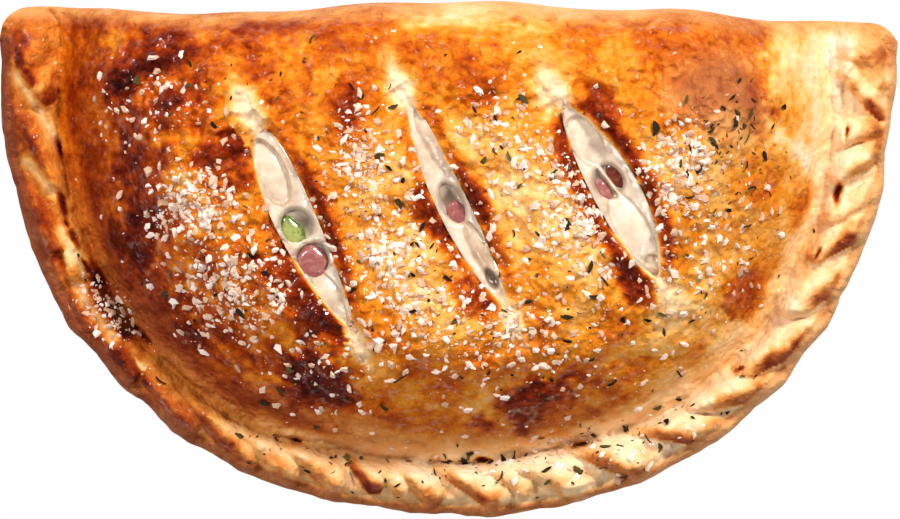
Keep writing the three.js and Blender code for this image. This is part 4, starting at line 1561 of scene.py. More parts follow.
@dataclass(frozen=True)
class Crust:
    """The baked crust: one closed shell of dough round the filling, open at the three cuts."""

    form: CrustForm
    cavity: Cavity
    browning: Browning
    finish: BakedDough
    spacing: float = 0.64
    edge_insets: Row = (0.25, 0.65, 1.15, 1.75)
    lip_rows: Row = (-0.2, 0.15, 0.5, 0.95, 1.5, 2.1)
    side_turns: Row = (0.88, 0.75, 0.6, 0.42, 0.22, 0.0)
    undercut: float = 0.55
    base_spacing: float = 3.0
    cut_depth: float = 7.0
    cutter_points: int = 160

    def lip_places(self) -> Array:
        """Lays out rows along the edges of the cuts.

        Returns:
            Their flat places.
        """
        rows = []
        for cut in self.form.cuts:
            a = np.linspace(0.004, 0.996, int(cut.length / self.spacing))
            for out in self.lip_rows:
                half = cut.opening(a) + out
                keep = half > 0.3
                rows += [np.column_stack(cut.point(a, side * half))[keep] for side in (-1, 1)]
        return np.vstack(rows)

    def top_places(self, ring: Array) -> Array:
        """Lays out the upper side.

        Args:
            ring: the outline.

        Returns:
            Its places, those of the outline first.
        """
        inward = inward_of(ring)
        edge = np.vstack([ring + inward * inset for inset in self.edge_insets])
        grid = hex_places(ring, self.spacing, self.edge_insets[-1] + 0.7 * self.spacing)
        gap = np.minimum.reduce([cut.edge_gap(*grid.T) for cut in self.form.cuts])
        low, high = self.lip_rows[0] - 0.5 * self.spacing, self.lip_rows[-1] + 0.6 * self.spacing
        grid = grid[(gap < low) | (gap > high)]
        return np.vstack([ring, edge, grid, self.lip_places()])

    def pushed_out(self, places: Array, spots: Spots) -> Array:
        """Moves places outwards where the pleats swell the edge.

        Args:
            places: flat places.
            spots: the same places as spots.

        Returns:
            The moved places.
        """
        rim = self.form.outline.rim
        along = self.form.outline.rim_along
        way = np.gradient(rim, along, axis=0)
        out = np.column_stack([way[:, 1], -way[:, 0]])
        normal = np.column_stack([np.interp(spots.along, along, out[:, k]) for k in range(2)])
        return places + normal * self.form.rim.edge_out(spots)[:, None]

    def body(self) -> Mesh:
        """Makes the crust's outer form as a solid.

        Returns:
            The solid's mesh.
        """
        ring = self.form.outline.ring(self.spacing)
        flat = self.top_places(ring)
        spots = self.form.spots(*flat.T)
        faces = [triangulate(flat, len(ring))]
        places = self.pushed_out(flat, spots)
        points = [np.column_stack([places, self.form.surface(spots)])]
        edge = places[:len(ring)]
        tall = points[0][:len(ring), 2]
        inward = inward_of(edge)
        above, total = 0, len(flat)
        for turn in self.side_turns:
            out, up = math.sin(math.pi / 2 * turn), 1 - math.cos(math.pi / 2 * turn)
            inset = (self.undercut * tall + 1) * (1 - out)
            side = edge + inward * inset[:, None]
            points.append(np.column_stack([side, tall * up]))
            faces.append(stitch(total, above, len(ring)))
            above, total = total, total + len(ring)
        sole = points[-1][:, :2]
        inner = hex_places(sole, self.base_spacing, self.base_spacing / 2)
        base = triangulate(np.vstack([sole, inner]), len(sole))[:, ::-1]
        points.append(np.column_stack([inner, np.zeros(len(inner))]))
        faces.append(np.where(base < len(sole), base + above, base + total - len(sole)))
        return new_mesh("crust_body", np.vstack(points), np.vstack(faces))

    def cutter(self, cut: Cut, name: str) -> Mesh:
        """Makes the solid that opens a cut from the surface to the filling.

        Args:
            cut: the cut to open.
            name: the mesh's name.

        Returns:
            The solid's mesh.
        """
        count = self.cutter_points
        angle = 2 * np.pi * (np.arange(count) + 0.5) / count
        a = 0.5 - 0.5 * np.cos(angle)
        half = np.maximum(cut.opening(a) - 0.4, 0.12)
        x, y = cut.point(a, np.where(np.sin(angle) > 0, -half, half))
        shares = np.linspace(0, 1, 5)
        middle = self.form.spots(*cut.point(shares, np.zeros(5)))
        level = np.interp(a, shares, self.form.top(middle))
        low = np.column_stack([x, y, level - self.cut_depth - 3])
        high = np.column_stack([x, y, level + 8])
        caps = [low.mean(axis=0), high.mean(axis=0)]
        i = np.arange(count)
        j = (i + 1) % count
        floor = np.column_stack([j, i, np.full(count, 2 * count)])
        lid = np.column_stack([i + count, j + count, np.full(count, 2 * count + 1)])
        faces = np.vstack([stitch(0, count, count), floor, lid])
        return new_mesh(name, np.vstack([low, high, caps]), faces)

    def paint(self, mesh: Mesh) -> None:
        """Stores the baking of every point, with its painted shade and sheen.

        Args:
            mesh: the crust's mesh.
        """
        points = mesh_points(mesh)
        spots = self.form.spots(points[:, 0], points[:, 1])
        top = self.form.surface(spots)
        outside = (spots.distance < 6) | (spots.fold_gap < 6)
        below = np.where(outside, 0.0, step(1.8, 3.2, top - points[:, 2]))
        side = np.where(outside, step(3.2, 1.2, points[:, 2]), 0.0)
        sole = step(0.6, 0.1, points[:, 2])
        mottle = rough_noise(*points[:, :2].T, 8, 81, points[:, 2])
        bake = mix(self.browning.bake(spots), self.browning.cavity_bake, below)
        bake = mix(bake, 0.50 + 0.12 * mottle, np.maximum(0.6 * side, sole))
        dry = np.maximum(self.browning.dryness_and_sheen(spots), np.maximum(side, sole))
        set_field(mesh, "bake", bake)
        set_field(mesh, "dry", mix(dry, 0.4, below))
        set_field(mesh, "oil", self.browning.oil(spots) * (1 - np.maximum(below, side)))

    def build(self) -> Item:
        """Makes the crust's piece."""
        tools = [(Joining.CUT, self.cavity.solid("cavity", 0.0))]
        for k, cut in enumerate(self.form.cuts):
            tools.append((Joining.CUT, self.cutter(cut, f"cutter_{k}")))
        mesh = combine("baked_crust", self.body(), tools)
        self.paint(mesh)
        crust = new_object("baked_crust", mesh, self.finish.material())
        return finish_piece(crust, "baked_crust", "crust")


# ------ cheese

@dataclass(frozen=True)
class Window(Oval):
    """An opening in the cheese's skin with smooth wet cheese bulging in it.

    Attributes:
        drop: how far its edge lies below the skin.
        crown: how far its middle bulges up again.
        film: how milky it looks; its higher values in the narrow middle cut are partly painted shade.
    """

    drop: float
    crown: float
    film: float


@dataclass(frozen=True)
class Hole(Oval):
    """A burst bubble that lets one see down to what lies in the cheese."""

    depth: float


@dataclass(frozen=True)
class Strand:
    """A string of cheese across a hole."""

    start: Pair
    end: Pair
    half: float = 0.6


@dataclass(frozen=True)
class CheeseFilling:
    """The melted cheese: the body that fills the crust, and its wet surface in each cut."""

    form: CrustForm
    cavity: Cavity
    finish: MeltedCheese
    gap: float = 0.35
    sink: float = 1.35
    sag: float = 1.7
    tuck: float = 0.5
    rind: float = 1.2
    loaf_depth: float = 9.0
    steps_along: int = 170
    steps_across: int = 36
    windows: tuple[Window, ...] = Window.table(
        (-47.4, 23.0, 9.4, 4.2, -66, 1.7, 1.5, .3), (-31.6, -10.4, 8.0, 3.4, -62, .9, 1.9, .4),
        (-4.6, 31.0, 9.5, 2.3, -62, .8, 1.2, .5), (8.3, 2.0, 9.0, 2.4, -62, .8, 1.5, .7),
        (36.0, 31.2, 7.4, 4.0, -60, 1.7, 1.3, .1), (48.5, 8.0, 11.0, 4.2, -60, 1.0, 2.2, -.2),
        (53.9, -1.4, 3.0, 2.3, -60, 1.0, 1.2, .6),
    )
    holes: tuple[Hole, ...] = Hole.table(
        (-40.4, 8.8, 5.4, 5.0, -62, 3.4), (-36.2, 0.0, 5.0, 5.8, -62, 3.0),
        (0.7, 14.9, 6.6, 3.3, -64, 3.4), (42.0, 20.6, 5.6, 4.6, -62, 3.4),
        (11.2, -5.2, 3.6, 1.6, -62, 1.4),
    )
    strands: tuple[Strand, ...] = (
        Strand((-42.8, 3.8), (-33.4, 6.4)),
        Strand((39.6, 24.2), (45.0, 17.0)),
    )

    def half_width(self, cut: Cut, a: Array) -> Array:
        """Returns half of the cheese's width in a cut, never quite pointed at its ends."""
        return cut.opening(np.clip((a - 0.5) * 0.97 + 0.5, 0.003, 0.997)) + self.tuck

    def surface(self, cut: Cut, a: Array, s: Array) -> tuple[Array, dict[str, Array]]:
        """Shapes the cheese in a cut.

        Args:
            cut: the cut that it lies in.
            a: share of the way from head to tail.
            s: share of the way from the middle to each edge, -1 to 1.

        Returns:
            Its points, and the values of its fields.
        """
        half = self.half_width(cut, a)
        x, y = cut.point(a, s * half)
        edges = []
        for side in (-1.0, 1.0):
            ex, ey = cut.point(a, side * half)
            edges.append(self.form.top(self.form.spots(ex, ey)) - self.sink)
        skin = mix(edges[0], edges[1], (s + 1) / 2)
        skin -= self.sag * (1 - np.abs(s) ** 2.4) * np.clip(half / 4.5, 0, 1)
        z = skin + 0.12 * noise(x, y, 3.0, 91)
        film = 0.25 + 0.25 * noise(x, y, 5.0, 93)
        hollow = np.zeros_like(x)
        for window in self.windows:
            out = window.out(x, y)
            inside = step(1.06, 0.88, out)
            z += inside * (window.crown * np.clip(1 - out ** 2, 0, 1) - window.drop)
            # Each window's milkiness is partly painted shade in the narrow middle cut; the thin darker
            # ring along each window's edge is painted shade where the cheese steps down.
            film = mix(film, window.film, inside)
            film += 0.5 * bell(out - 1.0, 0.07)
        for hole in self.holes:
            out = hole.out(x, y)
            inside = step(1.06, 0.62, out)
            z -= hole.depth * inside
            # Painted shade darkens the bottom of each hole.
            hollow = np.maximum(hollow, 0.9 * step(1.0, 0.6, out))
        for strand in self.strands:
            start, end = np.array(strand.start), np.array(strand.end)
            length = math.dist(start, end)
            way = (end - start) / length
            t = (x - start[0]) * way[0] + (y - start[1]) * way[1]
            off = (y - start[1]) * way[0] - (x - start[0]) * way[1]
            on = step(-1.5, 0.5, t) * step(1.5, -0.5, t - length)
            share = bell(off, strand.half) * on
            z = mix(z, np.maximum(z, skin - 0.7), share)
            hollow *= 1 - np.clip(1.3 * share, 0, 1)
        return np.column_stack([x, y, z]), {"film": np.clip(film, 0, 1), "hollow": hollow}

    def loaf(self, cut: Cut, name: str) -> Mesh:
        """Makes the cheese in one cut, closed below inside the filling.

        Args:
            cut: the cut that it fills.
            name: the mesh's name.

        Returns:
            The solid's mesh.
        """
        rows, columns = self.steps_along, self.steps_across
        a = 0.5 - 0.5 * np.cos(np.pi * np.arange(rows + 1) / rows)
        s = np.linspace(-1, 1, columns + 1)
        aa, ss = (grid.ravel() for grid in np.meshgrid(a, s, indexing="ij"))
        top, _ = self.surface(cut, aa, ss)
        under = top.copy()
        under[:, 2] -= self.rind
        middle = np.column_stack(cut.point(aa, np.zeros_like(aa)))
        inner = np.clip(1 - (self.tuck + 0.7) / np.maximum(cut.opening(aa) + self.tuck, 1.3), 0.05, 1)
        under[:, :2] = middle + (under[:, :2] - middle) * inner[:, None]
        deep = under.copy()
        deep[:, 2] = top[:, 2] - self.loaf_depth
        count = len(top)
        i, j = np.meshgrid(np.arange(rows), np.arange(columns), indexing="ij")
        corner = (i * (columns + 1) + j).ravel()
        quads = np.column_stack([corner, corner + columns + 1, corner + columns + 2, corner + 1])
        border = np.concatenate([
            np.arange(columns + 1), (np.arange(1, rows + 1)) * (columns + 1) + columns,
            rows * (columns + 1) + np.arange(columns - 1, -1, -1),
            np.arange(rows - 1, 0, -1) * (columns + 1)])
        nxt = np.roll(border, -1)
        faces = [quads]
        for low, high in ((count, 0), (2 * count, count)):
            faces.append(np.column_stack([border + low, border + high, nxt + high, nxt + low]))
        faces.append(quads[:, ::-1] + 2 * count)
        mesh = new_mesh(name, np.vstack([top, under, deep]), np.vstack(faces))
        return closed(mesh)

    def paint(self, mesh: Mesh) -> None:
        """Stores the look of every point.

        Args:
            mesh: the cheese's mesh.
        """
        points = mesh_points(mesh)
        film, hollow = np.full(len(points), 0.2), np.zeros(len(points))
        for cut in self.form.cuts:
            a, q = cut.place(points[:, 0], points[:, 1])
            half = self.half_width(cut, a)
            near = (a > 0) & (a < 1) & (np.abs(q) < half + 0.3)
            _, fields = self.surface(cut, a[near], (q / half)[near])
            film[near], hollow[near] = fields["film"], fields["hollow"]
        set_field(mesh, "film", film)
        set_field(mesh, "hollow", hollow)

    def build(self) -> Item:
        """Makes the cheese's piece."""
        tools = [(Joining.ADD, self.loaf(cut, f"loaf_{k}")) for k, cut in enumerate(self.form.cuts)]
        mesh = combine("melted_cheese", self.cavity.solid("filling", self.gap), tools)
        self.paint(mesh)
        cheese = new_object("melted_cheese", mesh, self.finish.material())
        return finish_piece(cheese, "melted_cheese", "cheese_filling")


# ------ ham and pepper

class Stuffing(Enum):
    """What a morsel is; the first word is handed on as a slot name, which nothing uses."""

    PEPPER = ("green_pepper", "cooked")
    HAM = ("ham", "pink")
    # Ham whose darker colour is painted shade.
    BROWNED_HAM = ("ham", "brown_and_shaded")


@dataclass(frozen=True)
class Morsel:
    """A diced piece that shows in a hole of the cheese."""

    kind: Stuffing
    node: str
    piece: str
    at: Pair
    size: tuple[float, float, float]
    sink: float
    turn: float
    squareness: float
    lumps: float
    seed: int
    rings: int = 30
    around: int = 60

    @property
    def oval(self) -> Oval:
        """The ellipse that it fills, seen from above."""
        return Oval(self.at, self.size[:2], self.turn)

    def mesh(self, form: CrustForm) -> Mesh:
        """Makes the rounded, uneven block.

        Args:
            form: the crust that it lies in.

        Returns:
            The block's mesh.
        """
        rings, around = self.rings, self.around
        theta = np.pi * (np.arange(1, rings) / rings)
        phi = 2 * np.pi * np.arange(around) / around
        t, p = (grid.ravel() for grid in np.meshgrid(theta, phi, indexing="ij"))
        points = np.column_stack([np.sin(t) * np.cos(p), np.sin(t) * np.sin(p), np.cos(t)])
        points = np.vstack([[0, 0, 1], points, [0, 0, -1]])
        power = self.squareness
        points /= (np.abs(points) ** power).sum(axis=1)[:, None] ** (1 / power)
        bumps = noise(points[:, 0] * 5 + points[:, 2] * 3, points[:, 1] * 5, 3.0, self.seed)
        points *= (1 + self.lumps * bumps)[:, None]
        points *= np.array(self.size) / 2
        c, s = self.oval.axis()
        x = points[:, 0] * c - points[:, 1] * s + self.at[0]
        y = points[:, 0] * s + points[:, 1] * c + self.at[1]
        level = form.top(form.spots(np.array([self.at[0]]), np.array([self.at[1]])))[0]
        points = np.column_stack([x, y, points[:, 2] + level - self.sink])
        last = len(points) - 1
        i = np.arange(around)
        j = (i + 1) % around
        faces = [np.column_stack([np.zeros(around, int), 1 + i, 1 + j])]
        for ring in range(rings - 2):
            faces.append(stitch(1 + (ring + 1) * around, 1 + ring * around, around))
        faces.append(np.column_stack([np.full(around, last), last - around + j, last - around + i]))
        return new_mesh(self.piece, points, np.vstack(faces))

    def build(self, form: CrustForm, material: Material) -> Item:
        """Makes the morsel's piece.

        Args:
            form: the crust that it lies in.
            material: what it is made of.

        Returns:
            The piece.
        """
        mesh = closed(self.mesh(form))
        x, y, _ = mesh_points(mesh).T
        set_field(mesh, "skin", step(0.22, 0.48, self.oval.out(x, y)))
        return finish_piece(new_object(self.piece, mesh, material), self.kind.value[0], self.node)


MORSELS = (
    Morsel(Stuffing.PEPPER, "green_pepper", "green_pepper_strip",
           (-41.8, 6.8), (10.0, 6.6, 3.8), 4.6, -62, 2.4, 0.26, 12),
    Morsel(Stuffing.HAM, "ham_left", "ham_dice_left",
           (-36.3, -0.6), (8.6, 8.4, 4.8), 4.6, -30, 2.8, 0.08, 8),
    Morsel(Stuffing.HAM, "ham_middle", "ham_dice_middle",
           (2.0, 12.4), (8.0, 5.6, 4.2), 5.1, -60, 2.4, 0.08, 10),
    Morsel(Stuffing.BROWNED_HAM, "ham_right_upper", "ham_dice_right_upper",
           (44.6, 22.4), (8.2, 6.0, 4.4), 5.4, -40, 2.4, 0.10, 15),
    Morsel(Stuffing.HAM, "ham_right_lower", "ham_dice_right_lower",
           (40.4, 17.9), (7.4, 4.6, 4.0), 5.2, -62, 2.4, 0.10, 15),
)


# ------ toppings

@dataclass(frozen=True)
class Drift(Oval):
    """An area where a topping lies thicker."""

    count: int


@dataclass(frozen=True)
class Topping:
    """Bits of one kind that are strewn over the crust and lie on it."""

    piece: str
    slot: str
    finish: Sprinkling
    drifts: tuple[Drift, ...]
    smallest: float
    largest: float
    seed: int
    lift: float
    clearance: float

    def places(self, form: CrustForm) -> Array:
        """Chooses where the bits lie.

        Args:
            form: the crust that they are strewn on.

        Returns:
            Their places, seen from above.
        """
        edge = form.outline
        draw = np.random.default_rng(self.seed)
        found = []
        for drift in self.drifts:
            # There are four tries for each bit, as some miss the dough.
            tries = 4 * drift.count
            out = np.sqrt(-np.log(1 - draw.random(tries) * 0.96)) * 0.62
            angle = 2 * np.pi * draw.random(tries)
            u = out * np.cos(angle) * drift.size[0]
            v = out * np.sin(angle) * drift.size[1]
            c, s = drift.axis()
            x, y = drift.at[0] + u * c - v * s, drift.at[1] + u * s + v * c
            spots = form.spots(x, y)
            across = (np.abs(x) / edge.half_length) ** edge.rim_power
            down = np.clip((edge.rim_top - y) / edge.rim_depth, 0, 1) ** edge.rim_power
            keep = (across + down < 1) & (spots.distance > 2.5) & (spots.fold_gap > 3.5)
            for cut in form.cuts:
                keep &= cut.edge_gap(x, y) > self.clearance
            found.append(np.column_stack([x, y])[keep][:drift.count])
        return np.vstack(found)

    def seats(self, form: CrustForm, crust: Item) -> Mesh:
        """Makes a point on the crust for each bit.

        Args:
            form: the form of the crust.
            crust: the crust's piece.

        Returns:
            A mesh of points that know which way the crust leans there.
        """
        points, leans = [], []
        for x, y in self.places(form):
            above = Vector((x * MM, y * MM, 0.2))
            hit, place, normal, _ = crust.ray_cast(above, Vector((0, 0, -1)))
            if hit and normal.z > 0.25:
                points.append(place)
                leans.append(normal)
        mesh = bpy.data.meshes.new(self.piece + "_seats")
        mesh.from_pydata([tuple(point) for point in points], [], [])
        lean = mesh.attributes.new("lean", "FLOAT_VECTOR", "POINT")
        lean.data.foreach_set("vector", np.array(leans, dtype=np.float32).ravel())
        return mesh

    def shapes(self) -> list[Mesh]:
        """Returns the few shapes that the bits have, a millimetre across."""
        raise NotImplementedError

    def tree(self, kinds: bpy.types.Collection) -> bpy.types.NodeTree:
        """Builds the node tree that lays a random shape on every seat.

        Args:
            kinds: the shapes to choose from.

        Returns:
            The node tree, with its inputs named.
        """
        tree = bpy.data.node_groups.new("lay_" + self.piece, "GeometryNodeTree")
        tree.interface.new_socket("Geometry", in_out="OUTPUT", socket_type="NodeSocketGeometry")
        for name, kind in (("Seats", "Geometry"), ("Shapes", "Collection"), ("Smallest", "Float"),
                           ("Largest", "Float"), ("Lift", "Float"), ("Seed", "Int"),
                           ("Finish", "Material")):
            tree.interface.new_socket(name, in_out="INPUT", socket_type="NodeSocket" + kind)
        add = partial(add_node, tree)
        given = add("NodeGroupInput").outputs
        lean = add("GeometryNodeInputNamedAttribute", {"data_type": "FLOAT_VECTOR",
            "Name": "lean"}).outputs["Attribute"]
        chance = add("FunctionNodeRandomValue", {"Seed": given["Seed"]})
        uneven = add("ShaderNodeMath", {"operation": "POWER", 0: chance.outputs[1], 1: 2.8})
        # Most bits are small and a few are large.
        size = add("ShaderNodeMix", {0: uneven.outputs[0], 2: given["Smallest"], 3: given["Largest"]})
        stretch = add("FunctionNodeRandomValue", {"data_type": "FLOAT_VECTOR",
            0: (0.75, 0.75, 0.7), 1: (1.2, 1.2, 1.15), "Seed": given["Seed"]})
        scale = add("ShaderNodeVectorMath", {"operation": "SCALE",
            0: stretch.outputs[0], "Scale": size.outputs[0]})
        spin_seed, kind_seed, tone_seed = (
            add("ShaderNodeMath", {0: given["Seed"], 1: more}).outputs[0]
            for more in (7.0, 19.0, 31.0))
        spin = add("FunctionNodeRandomValue", {2: 0.0, 3: 2 * math.pi, "Seed": spin_seed})
        upright = add("FunctionNodeAlignRotationToVector", {"axis": "Z", "Vector": lean})
        about = add("FunctionNodeAxisAngleToRotation", {"Axis": (0, 0, 1), "Angle": spin.outputs[1]})
        turned = add("FunctionNodeRotateRotation", {"rotation_space": "LOCAL",
            0: upright.outputs[0], 1: about.outputs[0]})
        seats = add("GeometryNodeMeshToPoints", {"Mesh": given["Seats"]})
        height = add("ShaderNodeMath", {"operation": "MULTIPLY", 0: size.outputs[0], 1: given["Lift"]})
        offset = add("ShaderNodeVectorMath", {"operation": "SCALE",
            0: lean, "Scale": height.outputs[0]})
        seats = add("GeometryNodeSetPosition", {
            "Geometry": seats.outputs[0], "Offset": offset.outputs[0]})
        kind = add("FunctionNodeRandomValue", {"data_type": "INT",
            4: 0, 5: len(kinds.objects) - 1, "Seed": kind_seed})
        choice = add("GeometryNodeCollectionInfo", {
            "Collection": given["Shapes"], "Separate Children": True, "Reset Children": True})
        laid = add("GeometryNodeInstanceOnPoints", {
            "Points": seats.outputs[0], "Instance": choice.outputs[0], "Pick Instance": True,
            "Instance Index": kind.outputs[2], "Rotation": turned.outputs[0],
            "Scale": scale.outputs[0]})
        tone = add("FunctionNodeRandomValue", {"Seed": tone_seed})
        laid = add("GeometryNodeStoreNamedAttribute", {
            "data_type": "FLOAT", "domain": "INSTANCE",
            "Geometry": laid.outputs[0], "Name": "tone", "Value": tone.outputs[1]})
        joined = add("GeometryNodeRealizeInstances", {0: laid.outputs[0]})
        dressed = add("GeometryNodeSetMaterial", {
            "Geometry": joined.outputs[0], "Material": given["Finish"]})
        add("NodeGroupOutput", {0: dressed.outputs[0]})
        return tree

    def build(self, form: CrustForm, crust: Item) -> Item:
        """Strews the topping over the crust and makes it one piece.

        Args:
            form: the form of the crust.
            crust: the crust's piece.

        Returns:
            The topping's piece.
        """
        kinds = bpy.data.collections.new(self.piece + "_kinds")
        bpy.context.scene.collection.children.link(kinds)
        for k, shape in enumerate(self.shapes()):
            kinds.objects.link(bpy.data.objects.new(f"{self.piece}_kind_{k}", shape))
        host = new_object(self.piece + "_host", self.seats(form, crust))
        modifier = host.modifiers.new("lay", "NODES")
        modifier.node_group = self.tree(kinds)
        values = {"Shapes": kinds, "Smallest": self.smallest * MM, "Largest": self.largest * MM,
                  "Lift": self.lift, "Seed": self.seed, "Finish": self.finish.material()}
        for socket in modifier.node_group.interface.items_tree:
            if socket.in_out == "INPUT" and socket.name in values:
                modifier[socket.identifier] = values[socket.name]
        host.update_tag()
        bpy.context.view_layer.update()
        mesh = baked_mesh(host, self.piece)
        bpy.data.objects.remove(host)
        for item in list(kinds.objects):
            bpy.data.objects.remove(item)
        bpy.data.collections.remove(kinds)
        return finish_piece(new_object(self.piece, mesh), self.slot)


@dataclass(frozen=True)
class GratedCheese(Topping):
    """Finely grated hard cheese: flat broken chips and crumbs."""

    piece: str = "grated_hard_cheese"
    slot: str = "grated_cheese"
    finish: Sprinkling = Sprinkling(
        "grated_hard_cheese",
        ((0.0, "#CC9C7C"), (0.3, "#E2BC9E"), (0.65, "#F2D6C4"), (1.0, "#FCEEE4")), 0.9, 0.5)
    drifts: tuple[Drift, ...] = Drift.table(
        (-68, 14, 14, 13, -40, 560), (-58, -8, 17, 15, 0, 460), (-23, 26, 11, 15, 25, 360),
        (-14, -2, 9, 22, 25, 430), (31, 14, 9, 22, 25, 480), (61, 25, 10, 15, 10, 400),
        (64, 12, 26, 32, 0, 380), (-92, -14, 12, 7, -50, 200), (-2, 0, 84, 46, 0, 1500),
        (-78, 40, 22, 14, 0, 150), (30, -52, 50, 10, 8, 180), (-34, -30, 22, 12, 0, 90),
        (10, -22, 26, 14, 0, 260), (14, 34, 12, 14, 0, 160))
    smallest: float = 0.3
    largest: float = 4.2
    seed: int = 20
    lift: float = 0.04
    clearance: float = 0.8
    kinds: int = 14

    def shapes(self) -> list[Mesh]:
        """Returns broken chips: flat, with a jagged outline and an uneven top."""
        draw = np.random.default_rng(self.seed + 5)
        shapes = []
        for k in range(self.kinds):
            count = int(draw.integers(5, 9))
            angle = 2 * np.pi * (np.arange(count) + draw.uniform(-0.35, 0.35, count)) / count
            reach = 0.5 * draw.uniform(0.4, 1.0, count)
            way = np.column_stack([np.cos(angle), np.sin(angle) * draw.uniform(0.5, 1.0)])
            foot = np.column_stack([way * reach[:, None], draw.uniform(-0.12, -0.06, count)])
            share = draw.uniform(0.6, 0.98, count)
            edge = np.column_stack([way * (reach * share)[:, None], draw.uniform(0.05, 0.15, count)])
            points = np.vstack([foot, edge, [(*draw.uniform(-0.08, 0.08, 2), draw.uniform(0.1, 0.2))]])
            i = np.arange(count)
            j = (i + 1) % count
            lid = np.column_stack([i + count, j + count, np.full(count, 2 * count)])
            floor = np.column_stack([np.zeros(count - 2, int), i[2:], i[1:-1]])
            faces = np.vstack([floor, stitch(0, count, count), lid])
            mesh = bpy.data.meshes.new(f"chip_{k}")
            mesh.from_pydata(points.tolist(), [], faces.tolist())
            shapes.append(mesh)
        return shapes


@dataclass(frozen=True)
class DriedHerbs(Topping):
    """Rubbed oregano: curled scraps of leaf and short bits of stalk."""

    piece: str = "dried_herb_flakes"
    slot: str = "dried_herbs"
    finish: Sprinkling = Sprinkling(
        "dried_oregano",
        ((0.0, "#140D0A"), (0.5, "#33261A"), (0.85, "#4E4426"), (1.0, "#5E5A30")), 0.7, 0.9)
    drifts: tuple[Drift, ...] = Drift.table(
        (0, 0, 95, 58, 0, 230), (40, -50, 45, 14, 20, 60), (75, 30, 16, 26, 0, 70),
        (-20, -55, 50, 9, -8, 40), (-60, 50, 40, 12, 0, 24), (10, -54, 16, 3, 4, 26))
    smallest: float = 0.9
    largest: float = 3.8
    seed: int = 33
    lift: float = 0.10
    clearance: float = 0.3
    leaves: int = 6
    stalks: int = 2

    def shapes(self) -> list[Mesh]:
        """Returns curled scraps of leaf and thin stalks."""
        draw = np.random.default_rng(self.seed + 5)
        shapes = []
        for k in range(self.leaves + self.stalks):
            stalk = k >= self.leaves
            width = 0.13 if stalk else draw.uniform(0.3, 0.55)
            thick = 0.10 if stalk else 0.07
            curl = draw.uniform(-0.25, 0.35)
            u = np.linspace(-0.5, 0.5, 5)
            taper = np.ones(5) if stalk else np.array([0.35, 0.9, 1.0, 0.8, 0.25])
            taper = taper * draw.uniform(0.8, 1.15, 5)
            bend = draw.uniform(-0.2, 0.2) * (1 - 4 * u ** 2) + draw.uniform(-0.03, 0.03, 5)
            rows = []
            for i in range(5):
                half = width / 2 * taper[i]
                lift = 0.16 * (1 - 4 * u[i] ** 2) * curl + draw.uniform(-0.03, 0.03)
                for side, upper in ((-1, 0), (0, 0), (1, 0), (1, 1), (0, 1), (-1, 1)):
                    z = lift + abs(side) * (curl * half) + upper * thick
                    rows.append((u[i], bend[i] + side * half, z))
            points = np.array(rows)
            faces = []
            for i in range(4):
                for j in range(6):
                    a, b = i * 6 + j, i * 6 + (j + 1) % 6
                    faces.append((a, b, b + 6, a + 6))
            ends = [(0, 1, 4, 5), (1, 2, 3, 4)]
            faces += [tuple(reversed(end)) for end in ends]
            faces += [tuple(24 + i for i in end) for end in ends]
            mesh = bpy.data.meshes.new(f"scrap_{k}")
            mesh.from_pydata(points.tolist(), [], faces)
            shapes.append(closed(mesh))
        return shapes


# ------ studio

@dataclass(frozen=True)
class Softbox:
    """A soft light that looks at the calzone."""

    name: str
    at: tuple[float, float, float]
    size: float
    watts: float
    tint: str = "#FFFFFF"


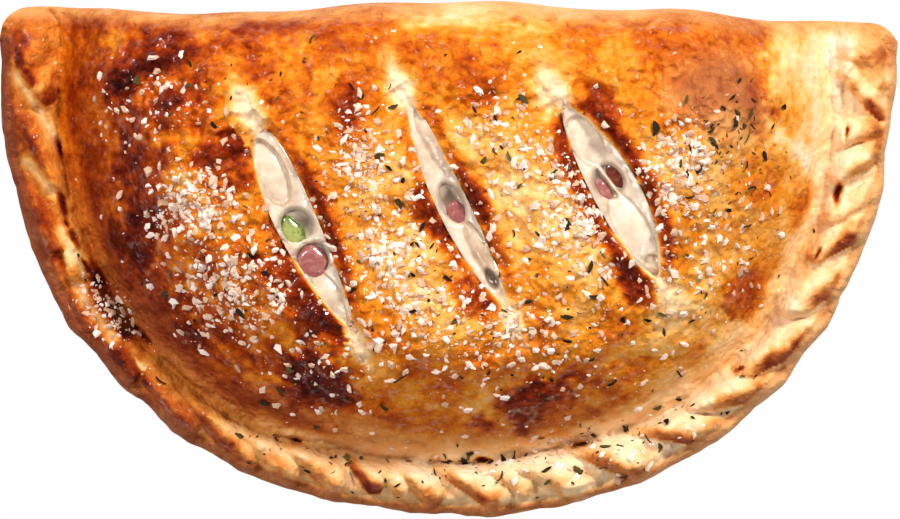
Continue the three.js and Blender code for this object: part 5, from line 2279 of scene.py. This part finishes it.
@dataclass(frozen=True)
class Studio:
    """A white light table under soft lamps, seen from straight above."""

    picture_width: int = 900
    middle_px: Pair = (450.0, 259.5)
    origin_px: Pair = (449.5, 259.5)
    mm_per_px: float = 0.26756
    focus_height: float = 6.0
    lens: float = 400.0
    sensor: float = 36.0
    floor_size: float = 8.0
    floor_drop: float = 0.1
    sky: float = 0.21
    lights: tuple[Softbox, ...] = (
        Softbox("key_softbox", (0.60, 0.80, 0.95), 0.28, 19.0, "#FFFAF2"),
        Softbox("left_softbox", (-0.70, 0.62, 1.05), 0.26, 11.0),
        Softbox("fill_softbox", (-0.9, -0.6, 0.8), 0.3, 2.6),
        Softbox("front_softbox", (0.75, -0.7, 0.9), 0.35, 2.2),
    )

    def build(self) -> None:
        """Sets up the table, the lamps, the sky and the camera."""
        scene = bpy.context.scene
        scene.view_settings.view_transform = "Standard"
        half = self.floor_size / 2 / MM
        corners = np.array([(-half, -half, 0), (half, -half, 0), (half, half, 0), (-half, half, 0)])
        corners[:, 2] = -self.floor_drop
        mesh = new_mesh("light_table", corners, np.array([[0, 1, 2, 3]]), smooth=False)
        new_object("light_table", mesh, LightTable().material())
        world = bpy.data.worlds.new("white_room")
        world.use_nodes = True
        world.node_tree.nodes.clear()
        add = partial(add_node, world.node_tree)
        sky = add("ShaderNodeBackground", {"Color": linear("#FFFFFF"), "Strength": self.sky})
        add("ShaderNodeOutputWorld", {"Surface": sky.outputs[0]})
        scene.world = world
        for softbox in self.lights:
            data = bpy.data.lights.new(softbox.name, "AREA")
            data.size = softbox.size
            data.energy = softbox.watts
            data.color = linear(softbox.tint)[:3]
            light = bpy.data.objects.new(softbox.name, data)
            light.location = softbox.at
            light.rotation_euler = (-Vector(softbox.at)).to_track_quat("-Z", "Y").to_euler()
            light.visible_camera = False
            scene.collection.objects.link(light)
        self.place_camera(scene)

    def place_camera(self, scene: bpy.types.Scene) -> None:
        """Hangs the camera over the calzone, so far up that it sees almost no perspective."""
        width = self.picture_width * self.mm_per_px * MM
        data = bpy.data.cameras.new("overhead_camera")
        data.lens = self.lens
        data.sensor_width = self.sensor
        data.clip_end = 20.0
        camera = bpy.data.objects.new("overhead_camera", data)
        x = (self.middle_px[0] - self.origin_px[0]) * self.mm_per_px * MM
        y = (self.origin_px[1] - self.middle_px[1]) * self.mm_per_px * MM
        camera.location = (x, y, width * self.lens / self.sensor + self.focus_height * MM)
        scene.collection.objects.link(camera)
        scene.camera = camera


# ------ the whole calzone

def main() -> None:
    """Builds every piece of the calzone and the studio round it."""
    logging.basicConfig(level=logging.INFO, format="%(name)s %(message)s")
    outline = Outline()
    rim = PleatedRim(length=float(outline.rim_along[-1]))
    form = CrustForm(outline, rim, CUTS)
    cavity = Cavity(form)
    crust = Crust(form, cavity, Browning(form), BakedDough()).build()
    CheeseFilling(form, cavity, MeltedCheese()).build()
    finishes = {
        Stuffing.HAM: CuredHam("cooked_ham", "#9A5855", "#C8988E").material(),
        # The right upper dice is coloured darker as painted shade.
        Stuffing.BROWNED_HAM: CuredHam("browned_ham", "#6E2A1C", "#A8664C").material(),
        Stuffing.PEPPER: GreenPepper().material(),
    }
    for morsel in MORSELS:
        morsel.build(form, finishes[morsel.kind])
    GratedCheese().build(form, crust)
    DriedHerbs().build(form, crust)
    Studio().build()


if __name__ == "__main__":
    main()
